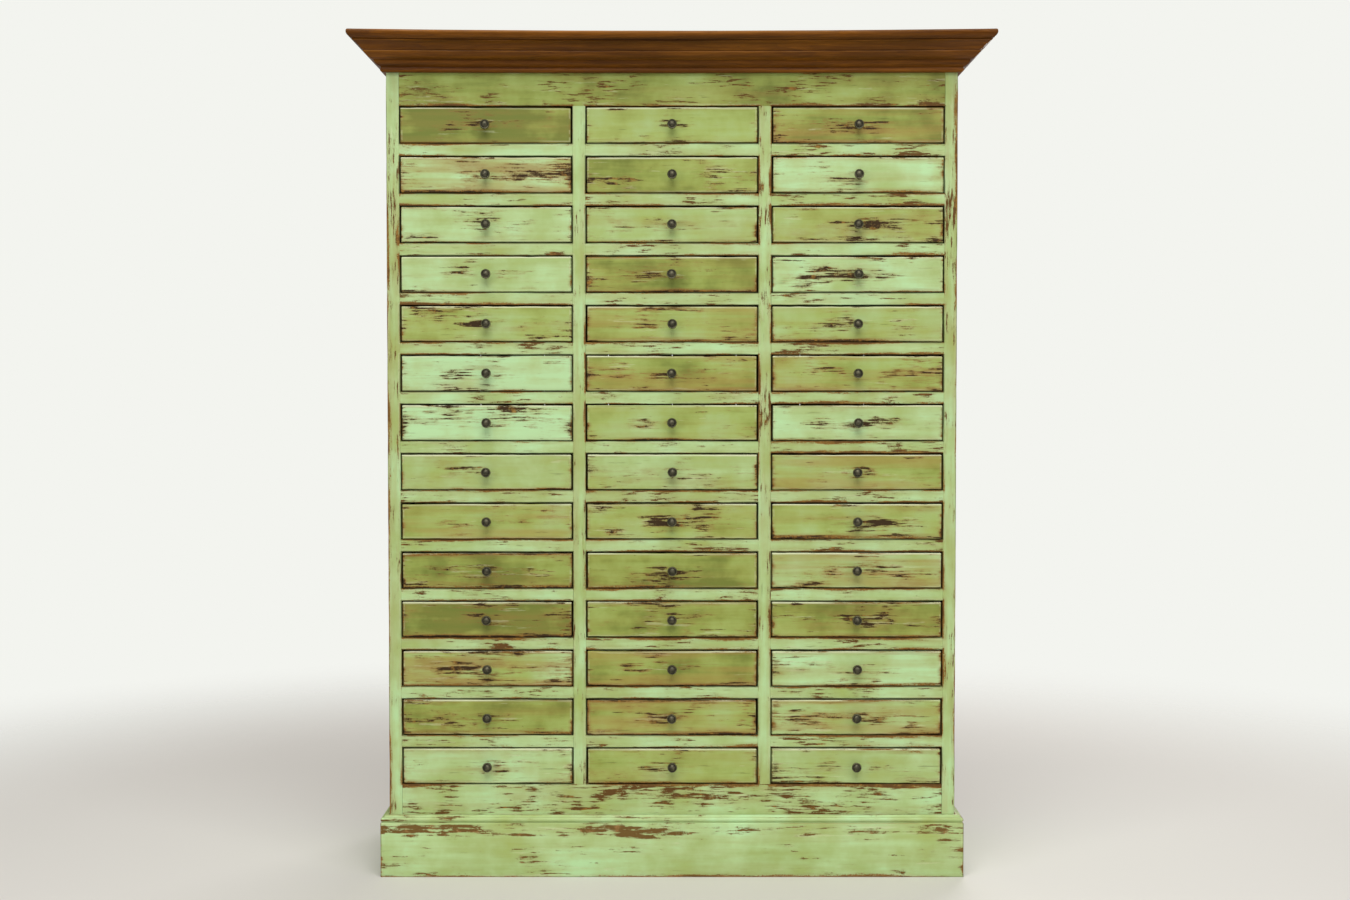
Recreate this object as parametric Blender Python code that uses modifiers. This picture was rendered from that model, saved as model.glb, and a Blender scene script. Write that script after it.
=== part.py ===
"""Apothecary cabinet of painted wood: fourteen rows of three small drawers in a face frame.

Units are metres, +Z is up and the front faces -Y. The origin is on the floor, under the centre
of the whole cabinet's box. Every drawer runs on a dust board and slides out along -Y.
"""

import math

import bmesh
import bpy
from mathutils import Matrix, Vector

# Driving dimensions: the grid of openings in the face frame.
ROWS = 14
BAYS = ("left", "centre", "right")
OPENING_WIDTH = 0.316
OPENING_HEIGHT = 0.0684
RAIL_HEIGHT = 0.0220
STILE_WIDTH = 0.0235
FRAME_DEPTH = 0.020

# Driving dimensions: the carcass round it.
BODY_DEPTH = 0.400
SIDE_THICKNESS = 0.016
BACK_THICKNESS = 0.008
BACK_LIFT = 0.020
TOP_THICKNESS = 0.015
PLINTH_HEIGHT = 0.113
PLINTH_REACH = 0.015
BOTTOM_RAIL_SHOWN = 0.056
FRIEZE_SHOWN = 0.0605
CORNICE_HEIGHT = 0.0684
CORNICE_REACH = 0.062
GAP = 0.0003  # between pieces that touch

# Shelf racks: a rail at the front of each dust board, housed in the upright boards.
RAIL_DEPTH = 0.045
DUST_BOARD_THICKNESS = 0.012
GUIDE_LAP = 0.0012  # how far a guide board stands into its bay, past the stile's edge
HOUSING = 0.006

# Drawers.
FRONT_THICKNESS = 0.018
FRONT_SIDE_GAP = 0.0026
FRONT_BOTTOM_GAP = 0.0015
FRONT_TOP_GAP = 0.0030
FRONT_PROUD = 0.001
FRONT_ROUNDING = 0.0018
BOX_WIDTH = 0.310
BOX_HEIGHT = 0.060
BOX_LIFT = 0.0005  # running clearance over the dust board
BOX_END = 0.380  # from the face frame's front to the drawer's back
BOX_WALL = 0.010
BOX_BOTTOM = 0.006
BOX_TENON = 0.006  # how far the box is let into the front

# Knobs: a turned head on a neck and a foot.
KNOB_RADIUS = 0.009
KNOB_REACH = 0.021
KNOB_SIDES = 10
KNOB_SHANK = 0.008  # the part that is let into the drawer front

# Derived sizes.
BODY_WIDTH = len(BAYS) * OPENING_WIDTH + (len(BAYS) + 1) * STILE_WIDTH
ROW_PITCH = OPENING_HEIGHT + RAIL_HEIGHT
BAY_PITCH = OPENING_WIDTH + STILE_WIDTH
LOWEST_SILL = PLINTH_HEIGHT + BOTTOM_RAIL_SHOWN
OPENINGS_TOP = LOWEST_SILL + ROWS * ROW_PITCH - RAIL_HEIGHT
CORNICE_BASE = OPENINGS_TOP + FRIEZE_SHOWN
HEIGHT = CORNICE_BASE + CORNICE_HEIGHT
TOP_BASE = HEIGHT - TOP_THICKNESS
BACK = (BODY_DEPTH + CORNICE_REACH) / 2
FRONT = BACK - BODY_DEPTH
BEHIND_FRAME = FRONT + FRAME_DEPTH + GAP
BACK_INSIDE = BACK - BACK_THICKNESS
HALF_WIDTH = BODY_WIDTH / 2
HALF_OPENING = OPENING_WIDTH / 2
GUIDE_THICKNESS = STILE_WIDTH + GUIDE_LAP - SIDE_THICKNESS - GAP

PAINT = ("green_paint", (0.42, 0.50, 0.22, 1.0), 0.55, 0.0)
STAIN = ("brown_stain", (0.17, 0.065, 0.018, 1.0), 0.38, 0.0)
BARE = ("bare_wood", (0.42, 0.27, 0.14, 1.0), 0.70, 0.0)


def clear_scene():
    """Removes what the startup file holds."""
    for obj in list(bpy.data.objects):
        bpy.data.objects.remove(obj)


def new_collection(name):
    """A collection linked to the scene."""
    made = bpy.data.collections.new(name)
    bpy.context.scene.collection.children.link(made)
    return made


def material(name, colour, roughness, metallic):
    """The named material, made the first time that it is asked for."""
    found = bpy.data.materials.get(name)
    if found:
        return found
    made = bpy.data.materials.new(name)
    made.use_nodes = True
    shader = made.node_tree.nodes["Principled BSDF"]
    shader.inputs["Base Color"].default_value = colour
    shader.inputs["Roughness"].default_value = roughness
    shader.inputs["Metallic"].default_value = metallic
    return made


def place(obj, collection, finish=None):
    """Moves an object to one collection and gives it its finish."""
    for old in list(obj.users_collection):
        old.objects.unlink(obj)
    collection.objects.link(obj)
    if finish:
        obj.data.materials.clear()
        obj.data.materials.append(material(*finish))
    return obj


def as_cutter(obj):
    """Marks an object as a helper, which isn't a piece of the cabinet."""
    obj.hide_render = True
    obj.display_type = "WIRE"
    return obj


def board(name, x, y, z, collection, finish=None):
    """A square-edged board between pairs of x, y and z, with its origin at its middle."""
    middle = Vector((sum(x) / 2, sum(y) / 2, sum(z) / 2))
    bpy.ops.mesh.primitive_cube_add(size=1, location=middle)
    obj = bpy.context.object
    obj.name = name
    obj.data.name = name
    obj.data.transform(Matrix.Diagonal((x[1] - x[0], y[1] - y[0], z[1] - z[0], 1)))
    return place(obj, collection, finish)


def prism(name, outline, half_length, turn, collection, finish=None):
    """An outline drawn flat, made half_length thick each way and then turned into its place."""
    curve = bpy.data.curves.new(name, "CURVE")
    curve.dimensions = "2D"
    curve.fill_mode = "BOTH"
    curve.extrude = half_length
    spline = curve.splines.new("POLY")
    spline.points.add(len(outline) - 1)
    spline.use_cyclic_u = True
    for point, (across, up) in zip(spline.points, outline):
        point.co = (across, up, 0, 1)
    drawn = bpy.data.objects.new(name + "_outline", curve)
    collection.objects.link(drawn)
    mesh = as_mesh(drawn, name)
    mesh.transform(turn)
    obj = bpy.data.objects.new(name, mesh)
    return place(obj, collection, finish)


def as_mesh(obj, name):
    """The evaluated mesh of an object, with its loose caps welded; the object is removed."""
    graph = bpy.context.evaluated_depsgraph_get()
    mesh = bpy.data.meshes.new_from_object(obj.evaluated_get(graph))
    mesh.name = name
    built = bmesh.new()
    built.from_mesh(mesh)
    bmesh.ops.remove_doubles(built, verts=built.verts, dist=1e-6)
    bmesh.ops.recalc_face_normals(built, faces=built.faces)
    built.to_mesh(mesh)
    built.free()
    bpy.data.objects.remove(obj)
    return mesh


def cut_off(obj, point, normal):
    """Cuts away what lies past a plane, and closes the cut."""
    built = bmesh.new()
    built.from_mesh(obj.data)
    everything = built.verts[:] + built.edges[:] + built.faces[:]
    cut = bmesh.ops.bisect_plane(
        built, geom=everything, plane_co=point, plane_no=normal, clear_outer=True
    )
    rim = [item for item in cut["geom_cut"] if isinstance(item, bmesh.types.BMEdge)]
    bmesh.ops.contextual_create(built, geom=rim)
    bmesh.ops.recalc_face_normals(built, faces=built.faces)
    built.to_mesh(obj.data)
    built.free()


def boolean(obj, operation, other):
    """Adds an exact Boolean with an object, or with all objects of a collection."""
    modifier = obj.modifiers.new(operation.lower(), "BOOLEAN")
    modifier.operation = operation
    modifier.solver = "EXACT"
    if isinstance(other, bpy.types.Collection):
        modifier.operand_type = "COLLECTION"
        modifier.collection = other
    else:
        modifier.object = other


def arc(centre, radius, start, end, steps):
    """Points on an arc, from one angle to another, in degrees."""
    angles = [math.radians(start + (end - start) * i / steps) for i in range(steps + 1)]
    return [
        (centre[0] + radius * math.cos(a), centre[1] + radius * math.sin(a)) for a in angles
    ]


def bow(start, end, rise, steps):
    """Points on an arc from start to end that stands to the right of its chord by rise."""
    (x0, y0), (x1, y1) = start, end
    chord = math.hypot(x1 - x0, y1 - y0)
    right = ((y1 - y0) / chord, (x0 - x1) / chord)
    points = []
    for step in range(steps + 1):
        t = step / steps
        out = 4 * rise * t * (1 - t)
        points.append((x0 + (x1 - x0) * t + right[0] * out, y0 + (y1 - y0) * t + right[1] * out))
    return points


def cornice_outline():
    """The crown moulding's section: x is the reach from the body, y the height over its base."""
    reach, top = CORNICE_REACH, CORNICE_HEIGHT
    section = [(GAP, top), (GAP, 0.0), (0.005, 0.0)]
    section += arc((0.005, 0.0045), 0.0045, -90, 40, 3)[1:]  # bottom bead
    section += bow((0.0100, 0.0106), (0.0185, 0.0185), -0.0014, 3)  # small hollow
    section += bow((0.0200, 0.0190), (0.0365, 0.0352), 0.0028, 4)  # swelling half of the ogee
    section += bow((0.0365, 0.0352), (0.0540, 0.0530), -0.0030, 4)[1:]  # hollow half
    section += [(0.0555, 0.0535)]
    section += bow((0.0560, 0.0545), (reach, top - 0.0065), 0.0010, 3)  # nosing
    section += [(reach, top - 0.0025), (reach - 0.0020, top)]
    return section


def plinth_outline():
    """The skirting's section: a flat board with a small stepped ogee along its top."""
    reach, top = PLINTH_REACH, PLINTH_HEIGHT
    section = [(GAP, top), (GAP, 0.0), (reach, 0.0), (reach, top - 0.015)]
    section += arc((reach - 0.006, top - 0.015), 0.006, 0, 90, 3)[1:]
    section += [(reach - 0.0075, top - 0.009)]
    section += arc((reach - 0.0015, top - 0.007), 0.006, 180, 130, 2)[1:]
    section += [(0.0085, top)]
    return section


def mitred_frame(name, outline, base, reach, collection, finish):
    """Three lengths of one moulding round the front and the sides, mitred at the front corners."""
    lift = Matrix.Translation((0, 0, base))
    across_front = Matrix(((0, 0, -1, 0), (-1, 0, 0, FRONT), (0, 1, 0, 0), (0, 0, 0, 1)))
    front = prism(
        f"{name}_front", outline, HALF_WIDTH + 2 * reach, lift @ across_front, collection, finish
    )
    for side, sign in (("left", -1), ("right", 1)):
        outwards = Vector((sign, 1, 0)).normalized()
        corner = Vector((sign * HALF_WIDTH, FRONT, 0))
        cut_off(front, corner - outwards * GAP / 2, outwards)
        middle = (FRONT - 2 * reach + BACK) / 2
        half_run = BACK - middle
        along_side = Matrix(
            ((sign, 0, 0, sign * HALF_WIDTH), (0, 0, -sign, middle), (0, 1, 0, 0), (0, 0, 0, 1))
        )
        length = prism(f"{name}_{side}", outline, half_run, lift @ along_side, collection, finish)
        cut_off(length, corner + outwards * GAP / 2, -outwards)


def bay_middle(bay):
    """The x of the middle of a bay."""
    return (BAYS.index(bay) - (len(BAYS) - 1) / 2) * BAY_PITCH


def sill(row):
    """The z of the bottom of an opening; row 1 is the highest."""
    return LOWEST_SILL + (ROWS - row) * ROW_PITCH


def level_outline(row):
    """The section, front to back, of the level over a row: a dust board, with a rail on its front.

    The level over the highest row has no rail of its own, because it lies behind the frieze rail.
    """
    back = BACK_INSIDE - GAP
    if row == 1:
        base = OPENINGS_TOP
        front = BEHIND_FRAME
        return [(front, base), (back, base), (back, base + DUST_BOARD_THICKNESS),
                (front, base + DUST_BOARD_THICKNESS)]
    top = sill(row - 1)
    behind_rail = FRONT + RAIL_DEPTH
    return [(FRONT, top - RAIL_HEIGHT), (behind_rail, top - RAIL_HEIGHT),
            (behind_rail, top - DUST_BOARD_THICKNESS), (back, top - DUST_BOARD_THICKNESS),
            (back, top), (FRONT, top)]


def sideways(x):
    """Turns an outline drawn front to back so that it runs across, with its middle at x."""
    return Matrix(((0, 0, 1, x), (1, 0, 0, 0), (0, 1, 0, 0), (0, 0, 0, 1)))


def divider(name, x, collection, finish=None):
    """A full-depth upright between two bays, notched at its top to pass behind the frieze rail."""
    back = BACK_INSIDE - GAP
    foot, shoulder = LOWEST_SILL + GAP, OPENINGS_TOP - GAP
    top = OPENINGS_TOP + DUST_BOARD_THICKNESS
    outline = [(FRONT, foot), (back, foot), (back, top), (BEHIND_FRAME, top),
               (BEHIND_FRAME, shoulder), (FRONT, shoulder)]
    return prism(name, outline, STILE_WIDTH / 2, sideways(x), collection, finish)


def shelf_rack(bay, collection, finish):
    """The fourteen levels of one bay, with the upright boards that hold them."""
    name = f"shelf_rack_{bay}"
    levels = new_collection(name + "_levels")
    middle = bay_middle(bay)
    if bay == "centre":
        divider_middle = HALF_OPENING + STILE_WIDTH / 2
        rack = divider(name, -divider_middle, collection, finish)
        as_cutter(divider(name + "_divider", divider_middle, levels))
        half_length = HALF_OPENING + HOUSING
    else:
        sign = -1 if bay == "left" else 1
        inner = abs(middle) + HALF_OPENING - GUIDE_LAP
        guide_x = sorted((sign * inner, sign * (inner + GUIDE_THICKNESS)))
        guide_y = (BEHIND_FRAME, BACK_INSIDE - 2 * GAP)
        guide_z = (LOWEST_SILL + GAP, OPENINGS_TOP + DUST_BOARD_THICKNESS - GAP)
        rack = board(name, guide_x, guide_y, guide_z, collection, finish)
        half_length = HALF_OPENING - GAP
    for row in range(1, ROWS + 1):
        level = prism(f"{name}_level_{row:02d}", level_outline(row), half_length,
                      sideways(middle), levels)
        as_cutter(level)
    boolean(rack, "UNION", levels)


def carcass(collection):
    """The fixed boards: sides, back, top, bottom, stiles and the rails at the head and foot."""
    frame_y = (FRONT, FRONT + FRAME_DEPTH)
    inside_y = (BEHIND_FRAME, BACK_INSIDE - GAP)
    under_top = TOP_BASE - GAP
    between_stiles = HALF_WIDTH - STILE_WIDTH - GAP
    for side, sign in (("left", -1), ("right", 1)):
        wall = sorted((sign * HALF_WIDTH, sign * (HALF_WIDTH - SIDE_THICKNESS)))
        stile = sorted((sign * HALF_WIDTH, sign * (HALF_WIDTH - STILE_WIDTH)))
        board(f"side_{side}", wall, inside_y, (0, under_top), collection, PAINT)
        board(f"stile_{side}", stile, frame_y, (0, under_top), collection, PAINT)
    rail_x = (-between_stiles, between_stiles)
    board("frieze_rail", rail_x, frame_y, (OPENINGS_TOP, under_top), collection, PAINT)
    foot = PLINTH_HEIGHT / 2
    board("bottom_rail", rail_x, frame_y, (foot, LOWEST_SILL), collection, PAINT)
    inner = HALF_WIDTH - SIDE_THICKNESS - GAP
    bottom_z = (LOWEST_SILL - RAIL_HEIGHT, LOWEST_SILL)
    board("bottom_board", (-inner, inner), inside_y, bottom_z, collection, BARE)
    back_y = (BACK_INSIDE, BACK)
    back_x = (-HALF_WIDTH, HALF_WIDTH)
    board("back_panel", back_x, back_y, (BACK_LIFT, under_top), collection, BARE)
    board("top_board", back_x, (FRONT, BACK), (TOP_BASE, HEIGHT), collection, STAIN)


def knob(collection):
    """The turned knob, with its shank towards +Y and its foot on the plane y = 0."""
    radius, reach = KNOB_RADIUS, KNOB_REACH
    profile = [
        (0.0, reach),
        (radius * 0.62, reach * 0.93),
        (radius, reach * 0.72),
        (radius * 0.78, reach * 0.52),
        (radius * 0.42, reach * 0.34),
        (radius * 0.62, 0.0005),
        (radius * 0.36, 0.0),
        (radius * 0.36, -KNOB_SHANK),
        (0.0, -KNOB_SHANK),
    ]
    mesh = bpy.data.meshes.new("knob")
    mesh.from_pydata([(r, 0, h) for r, h in profile], [(i, i + 1) for i in range(8)], [])
    obj = bpy.data.objects.new("knob_profile", mesh)
    collection.objects.link(obj)
    turned = obj.modifiers.new("turned", "SCREW")
    turned.steps = KNOB_SIDES
    turned.render_steps = KNOB_SIDES
    turned.use_merge_vertices = True
    turned.merge_threshold = 0.0001
    made = bpy.data.objects.new("knob", as_mesh(obj, "knob"))
    made.data.transform(Matrix.Rotation(math.radians(90), 4, "X"))
    collection.objects.link(made)
    return as_cutter(made)


def drawer_mesh(shapes):
    """One drawer: box, front and knob joined. Its origin is the middle of its opening's sill."""
    half_front = OPENING_WIDTH / 2 - FRONT_SIDE_GAP
    front_z = (FRONT_BOTTOM_GAP, OPENING_HEIGHT - FRONT_TOP_GAP)
    front_y = (-FRONT_PROUD, FRONT_THICKNESS - FRONT_PROUD)
    front = board("drawer_front", (-half_front, half_front), front_y, front_z, shapes)
    rounding = front.modifiers.new("rounding", "BEVEL")
    rounding.width = FRONT_ROUNDING
    rounding.segments = 1
    half = BOX_WIDTH / 2
    box_y = (front_y[1] - BOX_TENON, BOX_END)
    box = board("drawer_box", (-half, half), box_y, (BOX_LIFT, BOX_LIFT + BOX_HEIGHT), shapes)
    inner = half - BOX_WALL
    hollow_y = (front_y[1], BOX_END - BOX_WALL)
    hollow_z = (BOX_LIFT + BOX_BOTTOM, BOX_LIFT + BOX_HEIGHT + 0.01)
    hollow = board("drawer_hollow", (-inner, inner), hollow_y, hollow_z, shapes)
    pull = knob(shapes)
    pull.location = (0, -FRONT_PROUD, sum(front_z) / 2)
    boolean(front, "UNION", box)
    boolean(front, "DIFFERENCE", hollow)
    boolean(front, "UNION", pull)
    for helper in (front, box, hollow, pull):
        as_cutter(helper)
    graph = bpy.context.evaluated_depsgraph_get()
    mesh = bpy.data.meshes.new_from_object(front.evaluated_get(graph))
    mesh.transform(front.matrix_world)
    mesh.name = "drawer"
    mesh.set_sharp_from_angle(angle=math.radians(35))
    mesh.materials.clear()
    mesh.materials.append(material(*PAINT))
    for helper in (front, box, hollow, pull):
        bpy.data.objects.remove(helper)
    return mesh


def drawers(collection, shapes):
    """One drawer for each opening; all share one mesh."""
    mesh = drawer_mesh(shapes)
    for row in range(1, ROWS + 1):
        for bay in BAYS:
            obj = bpy.data.objects.new(f"drawer_{row:02d}_{bay}", mesh)
            obj.location = (bay_middle(bay), FRONT, sill(row))
            collection.objects.link(obj)


def main():
    clear_scene()
    cabinet = new_collection("apothecary_cabinet")
    shapes = new_collection("shapes")
    carcass(cabinet)
    for bay in BAYS:
        shelf_rack(bay, cabinet, PAINT)
    mitred_frame("cornice", cornice_outline(), CORNICE_BASE, CORNICE_REACH, cabinet, STAIN)
    mitred_frame("plinth", plinth_outline(), 0.0, PLINTH_REACH, cabinet, PAINT)
    drawers(cabinet, shapes)


main()
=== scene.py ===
"""The visual model of a painted apothecary cabinet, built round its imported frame.

Every board, moulding and knob is made here in fine detail and rides on the frame's bodies.
Units are metres, +Z is up and the drawers open along -Y.
"""

from __future__ import annotations

import logging
import math
import random
from collections.abc import Iterable
from dataclasses import dataclass, field
from enum import Enum
from functools import reduce

import bmesh
import bpy
from mathutils import Matrix, Vector, noise


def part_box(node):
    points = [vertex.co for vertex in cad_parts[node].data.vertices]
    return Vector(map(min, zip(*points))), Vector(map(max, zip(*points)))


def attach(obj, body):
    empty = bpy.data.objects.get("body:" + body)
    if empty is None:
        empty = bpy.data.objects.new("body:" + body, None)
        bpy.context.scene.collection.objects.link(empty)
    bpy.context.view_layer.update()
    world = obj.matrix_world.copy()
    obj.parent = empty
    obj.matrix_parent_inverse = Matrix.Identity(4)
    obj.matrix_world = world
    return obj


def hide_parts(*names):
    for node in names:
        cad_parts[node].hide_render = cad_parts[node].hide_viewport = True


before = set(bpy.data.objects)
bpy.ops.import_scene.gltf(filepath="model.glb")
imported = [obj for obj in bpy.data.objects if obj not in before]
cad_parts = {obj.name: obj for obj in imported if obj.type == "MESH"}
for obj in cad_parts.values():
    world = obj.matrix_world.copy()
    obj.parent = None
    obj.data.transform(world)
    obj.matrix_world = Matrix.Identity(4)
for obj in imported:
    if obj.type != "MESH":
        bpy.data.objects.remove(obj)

LOG = logging.getLogger("apothecary_cabinet")
CASE_BODY = "carcass"
PAINT_SLOT = "green_paint"
STAIN_SLOT = "brown_stain"
WOOD_SLOT = "bare_wood"
BRONZE_SLOT = "dark_bronze"
CORNICE_SAG = 0.004
NOISE_SEED = 7  # noise_vector reads a random state, which is set by the clock unless it is seeded
BACKWARDS = Vector((0, 1, 0))

Number = float | bpy.types.NodeSocket
Colour = tuple[float, float, float] | bpy.types.NodeSocket
Outline = list[tuple[float, float]]
Layer = tuple[Number, Number, Colour]  # where it lies, how thick it is and its colour
Profile = list[tuple[float, float, float]]  # radius, height and relief at each point


class Axis(Enum):
    """The direction in which a board's grain runs."""

    X = (1.0, 0.0, 0.0)
    Y = (0.0, 1.0, 0.0)
    Z = (0.0, 0.0, 1.0)

    @property
    def vector(self) -> Vector:
        """The direction as a vector."""
        return Vector(self.value)

    @property
    def index(self) -> int:
        """The direction's place among x, y and z."""
        return self.value.index(1.0)


class Tone(Enum):
    """How green or how brown a coat of paint has turned, from fresh to dirty."""

    MINT = 0.0
    PALE = 0.2
    SAGE = 0.4
    LEAF = 0.6
    OLIVE = 0.8
    DARK = 1.0


class Mark(Enum):
    """What each point of a board tells its finish."""

    CENTRE = "board_centre"  # the board's middle
    HALF = "board_half"  # half its size each way
    GRAIN = "board_grain"  # the direction of its grain
    SEED = "board_seed"  # an offset that gives it a pattern of its own
    LOOK = "board_look"  # tone, haze and wear
    RELIEF = "board_relief"  # 1 on a moulding's crest and -1 in its hollow


# ---------------------------------------------------------------------------------------------
# Shader graphs
# ---------------------------------------------------------------------------------------------


def srgb(red: int, green: int, blue: int) -> tuple[float, float, float]:
    """Turns a colour as a paint card gives it into the shader's linear values.

    Args:
        red: red, 0 to 255.
        green: green, 0 to 255.
        blue: blue, 0 to 255.

    Returns:
        The linear red, green and blue.
    """
    low, offset, scale, power = 0.04045, 0.055, 1.055, 2.4

    def linear(value: int) -> float:
        """One channel, made linear."""
        part = value / 255
        return part / 12.92 if part <= low else ((part + offset) / scale) ** power

    return linear(red), linear(green), linear(blue)


class Graph:
    """Adds nodes to one shader tree and links them."""

    def __init__(self, tree: bpy.types.NodeTree) -> None:
        """Starts with a tree, which may be empty."""
        self.tree = tree

    def add(self, kind: str, settings: dict | None = None, **inputs: object) -> bpy.types.Node:
        """Adds one node.

        Args:
            kind: the node's type, without "ShaderNode".
            settings: the node's own properties.
            **inputs: what each input gets, by its name with _ for a space.

        Returns:
            The node.
        """
        node = self.tree.nodes.new("ShaderNode" + kind)
        node.location.x = 180 * len(self.tree.nodes)
        for name, value in (settings or {}).items():
            setattr(node, name, value)
        for name, value in inputs.items():
            self.feed(node.inputs[name.replace("_", " ")], value)
        return node

    def feed(self, socket: bpy.types.NodeSocket, value: object) -> None:
        """Links a socket to another, or sets its value."""
        if isinstance(value, bpy.types.NodeSocket):
            self.tree.links.new(value, socket)
        elif isinstance(value, tuple) and len(value) == 3 and len(socket.default_value) == 4:
            socket.default_value = (*value, 1.0)
        else:
            socket.default_value = value

    def math(self, operation: str, *values: Number) -> bpy.types.NodeSocket:
        """The result of a Math node."""
        node = self.add("Math", {"operation": operation})
        for socket, value in zip(node.inputs, values):
            self.feed(socket, value)
        return node.outputs[0]

    def plus(self, *values: Number) -> bpy.types.NodeSocket:
        """Numbers added up."""
        return reduce(lambda total, value: self.math("ADD", total, value), values)

    def times(self, first: Number, second: Number) -> bpy.types.NodeSocket:
        """Two numbers multiplied."""
        return self.math("MULTIPLY", first, second)

    def minus(self, first: Number, second: Number) -> bpy.types.NodeSocket:
        """One number less another."""
        return self.math("SUBTRACT", first, second)

    def most(self, *values: Number) -> bpy.types.NodeSocket:
        """The greatest of some numbers."""
        return reduce(lambda best, value: self.math("MAXIMUM", best, value), values)

    def least(self, *values: Number) -> bpy.types.NodeSocket:
        """The smallest of some numbers."""
        return reduce(lambda best, value: self.math("MINIMUM", best, value), values)

    def vector(self, operation: str, *values: object) -> bpy.types.NodeSocket:
        """The result of a Vector Math node, a number for a dot product or a length."""
        node = self.add("VectorMath", {"operation": operation})
        for socket, value in zip(node.inputs, values):
            self.feed(socket, value)
        return node.outputs[1 if operation in ("DOT_PRODUCT", "LENGTH") else 0]

    def grow(self, vector: bpy.types.NodeSocket, factor: Number) -> bpy.types.NodeSocket:
        """A vector times a number."""
        node = self.add("VectorMath", {"operation": "SCALE"}, Scale=factor)
        self.feed(node.inputs[0], vector)
        return node.outputs[0]

    def mark(self, mark: Mark) -> bpy.types.NodeSocket:
        """A board's mark, as a vector."""
        return self.add("Attribute", {"attribute_name": mark.value}).outputs["Vector"]

    def parts(self, vector: bpy.types.NodeSocket) -> list[bpy.types.NodeSocket]:
        """The x, y and z of a vector."""
        return list(self.add("SeparateXYZ", Vector=vector).outputs)

    def noise(
        self, place: bpy.types.NodeSocket, scale: Number, detail: float = 4.0, roughness: float = 0.55
    ) -> bpy.types.NodeSocket:
        """Cloudy noise, 0 to 1 round 0.5.

        Args:
            place: where the pattern is read.
            scale: how many features it has in a metre.
            detail: how many octaves it has.
            roughness: how strong the finer octaves are.

        Returns:
            The noise's value.
        """
        settings = {"Vector": place, "Scale": scale, "Detail": detail, "Roughness": roughness}
        return self.add("TexNoise", **settings).outputs[0]

    def step(
        self, value: Number, low: Number, high: Number, start: float = 0.0, end: float = 1.0
    ) -> bpy.types.NodeSocket:
        """A smooth step.

        Args:
            value: what is compared.
            low: where the step starts.
            high: where the step ends.
            start: the result before the step.
            end: the result after it.

        Returns:
            The stepped value.
        """
        limits = {"From_Min": low, "From_Max": high, "To_Min": start, "To_Max": end}
        smooth = {"interpolation_type": "SMOOTHSTEP"}
        return self.add("MapRange", smooth, Value=value, **limits).outputs[0]

    def mix(self, factor: Number, first: Colour, second: Colour) -> bpy.types.NodeSocket:
        """Two colours mixed.

        Args:
            factor: how much of the second shows.
            first: the colour beneath.
            second: the colour above.

        Returns:
            The mixed colour.
        """
        node = self.add("Mix", {"data_type": "RGBA"})
        for index, value in ((0, factor), (6, first), (7, second)):
            self.feed(node.inputs[index], value)
        return node.outputs[2]

    def layers(self, colour: Colour, *layers: Layer) -> Colour:
        """Lays thin colours over another, one after the next.

        Args:
            colour: the colour beneath.
            *layers: each layer's mask, strength and colour.

        Returns:
            The colour that shows.
        """
        for mask, strength, above in layers:
            colour = self.mix(self.times(mask, strength), colour, above)
        return colour

    def ramp(self, factor: bpy.types.NodeSocket, *stops: tuple[float, tuple]) -> bpy.types.NodeSocket:
        """A colour read off a ramp.

        Args:
            factor: the place on the ramp.
            *stops: the ramp's places and colours, in order.

        Returns:
            The colour.
        """
        node = self.add("ValToRGB")
        self.feed(node.inputs[0], factor)
        elements = node.color_ramp.elements
        for place, _ in stops[2:]:
            elements.new(place)
        for element, (position, colour) in zip(elements, stops):
            element.position = position
            element.color = (*colour, 1.0)
        return node.outputs[0]

    def group(self, effect: Effect, **inputs: object) -> bpy.types.bpy_prop_collection:
        """Places a node group, fed by the names of its inputs, and gives its outputs."""
        return self.add("Group", {"node_tree": effect.tree}, **inputs).outputs


class Effect:
    """A node group with named inputs and outputs."""

    def __init__(self, name: str, inputs: dict[str, object], floats: str = "", vectors: str = "") -> None:
        """Makes the group's tree and its sockets.

        Args:
            name: the group's name.
            inputs: each input's name and its usual value, a number or a vector.
            floats: the names of the outputs that are numbers.
            vectors: the names of the outputs that are vectors.
        """
        self.tree = bpy.data.node_groups.new(name, "ShaderNodeTree")
        for label, value in inputs.items():
            kind = "NodeSocketVector" if isinstance(value, tuple) else "NodeSocketFloat"
            socket = self.tree.interface.new_socket(label, in_out="INPUT", socket_type=kind)
            socket.default_value = value
        for labels, kind in ((vectors, "NodeSocketVector"), (floats, "NodeSocketFloat")):
            for label in labels.split():
                self.tree.interface.new_socket(label, in_out="OUTPUT", socket_type=kind)
        self.graph = Graph(self.tree)
        self.inputs = self.tree.nodes.new("NodeGroupInput").outputs
        self.ends = self.tree.nodes.new("NodeGroupOutput").inputs

    def give(self, **outputs: bpy.types.NodeSocket) -> Effect:
        """Links the group's outputs by their names, and gives the group back."""
        for name, value in outputs.items():
            self.graph.feed(self.ends[name], value)
        return self


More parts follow.
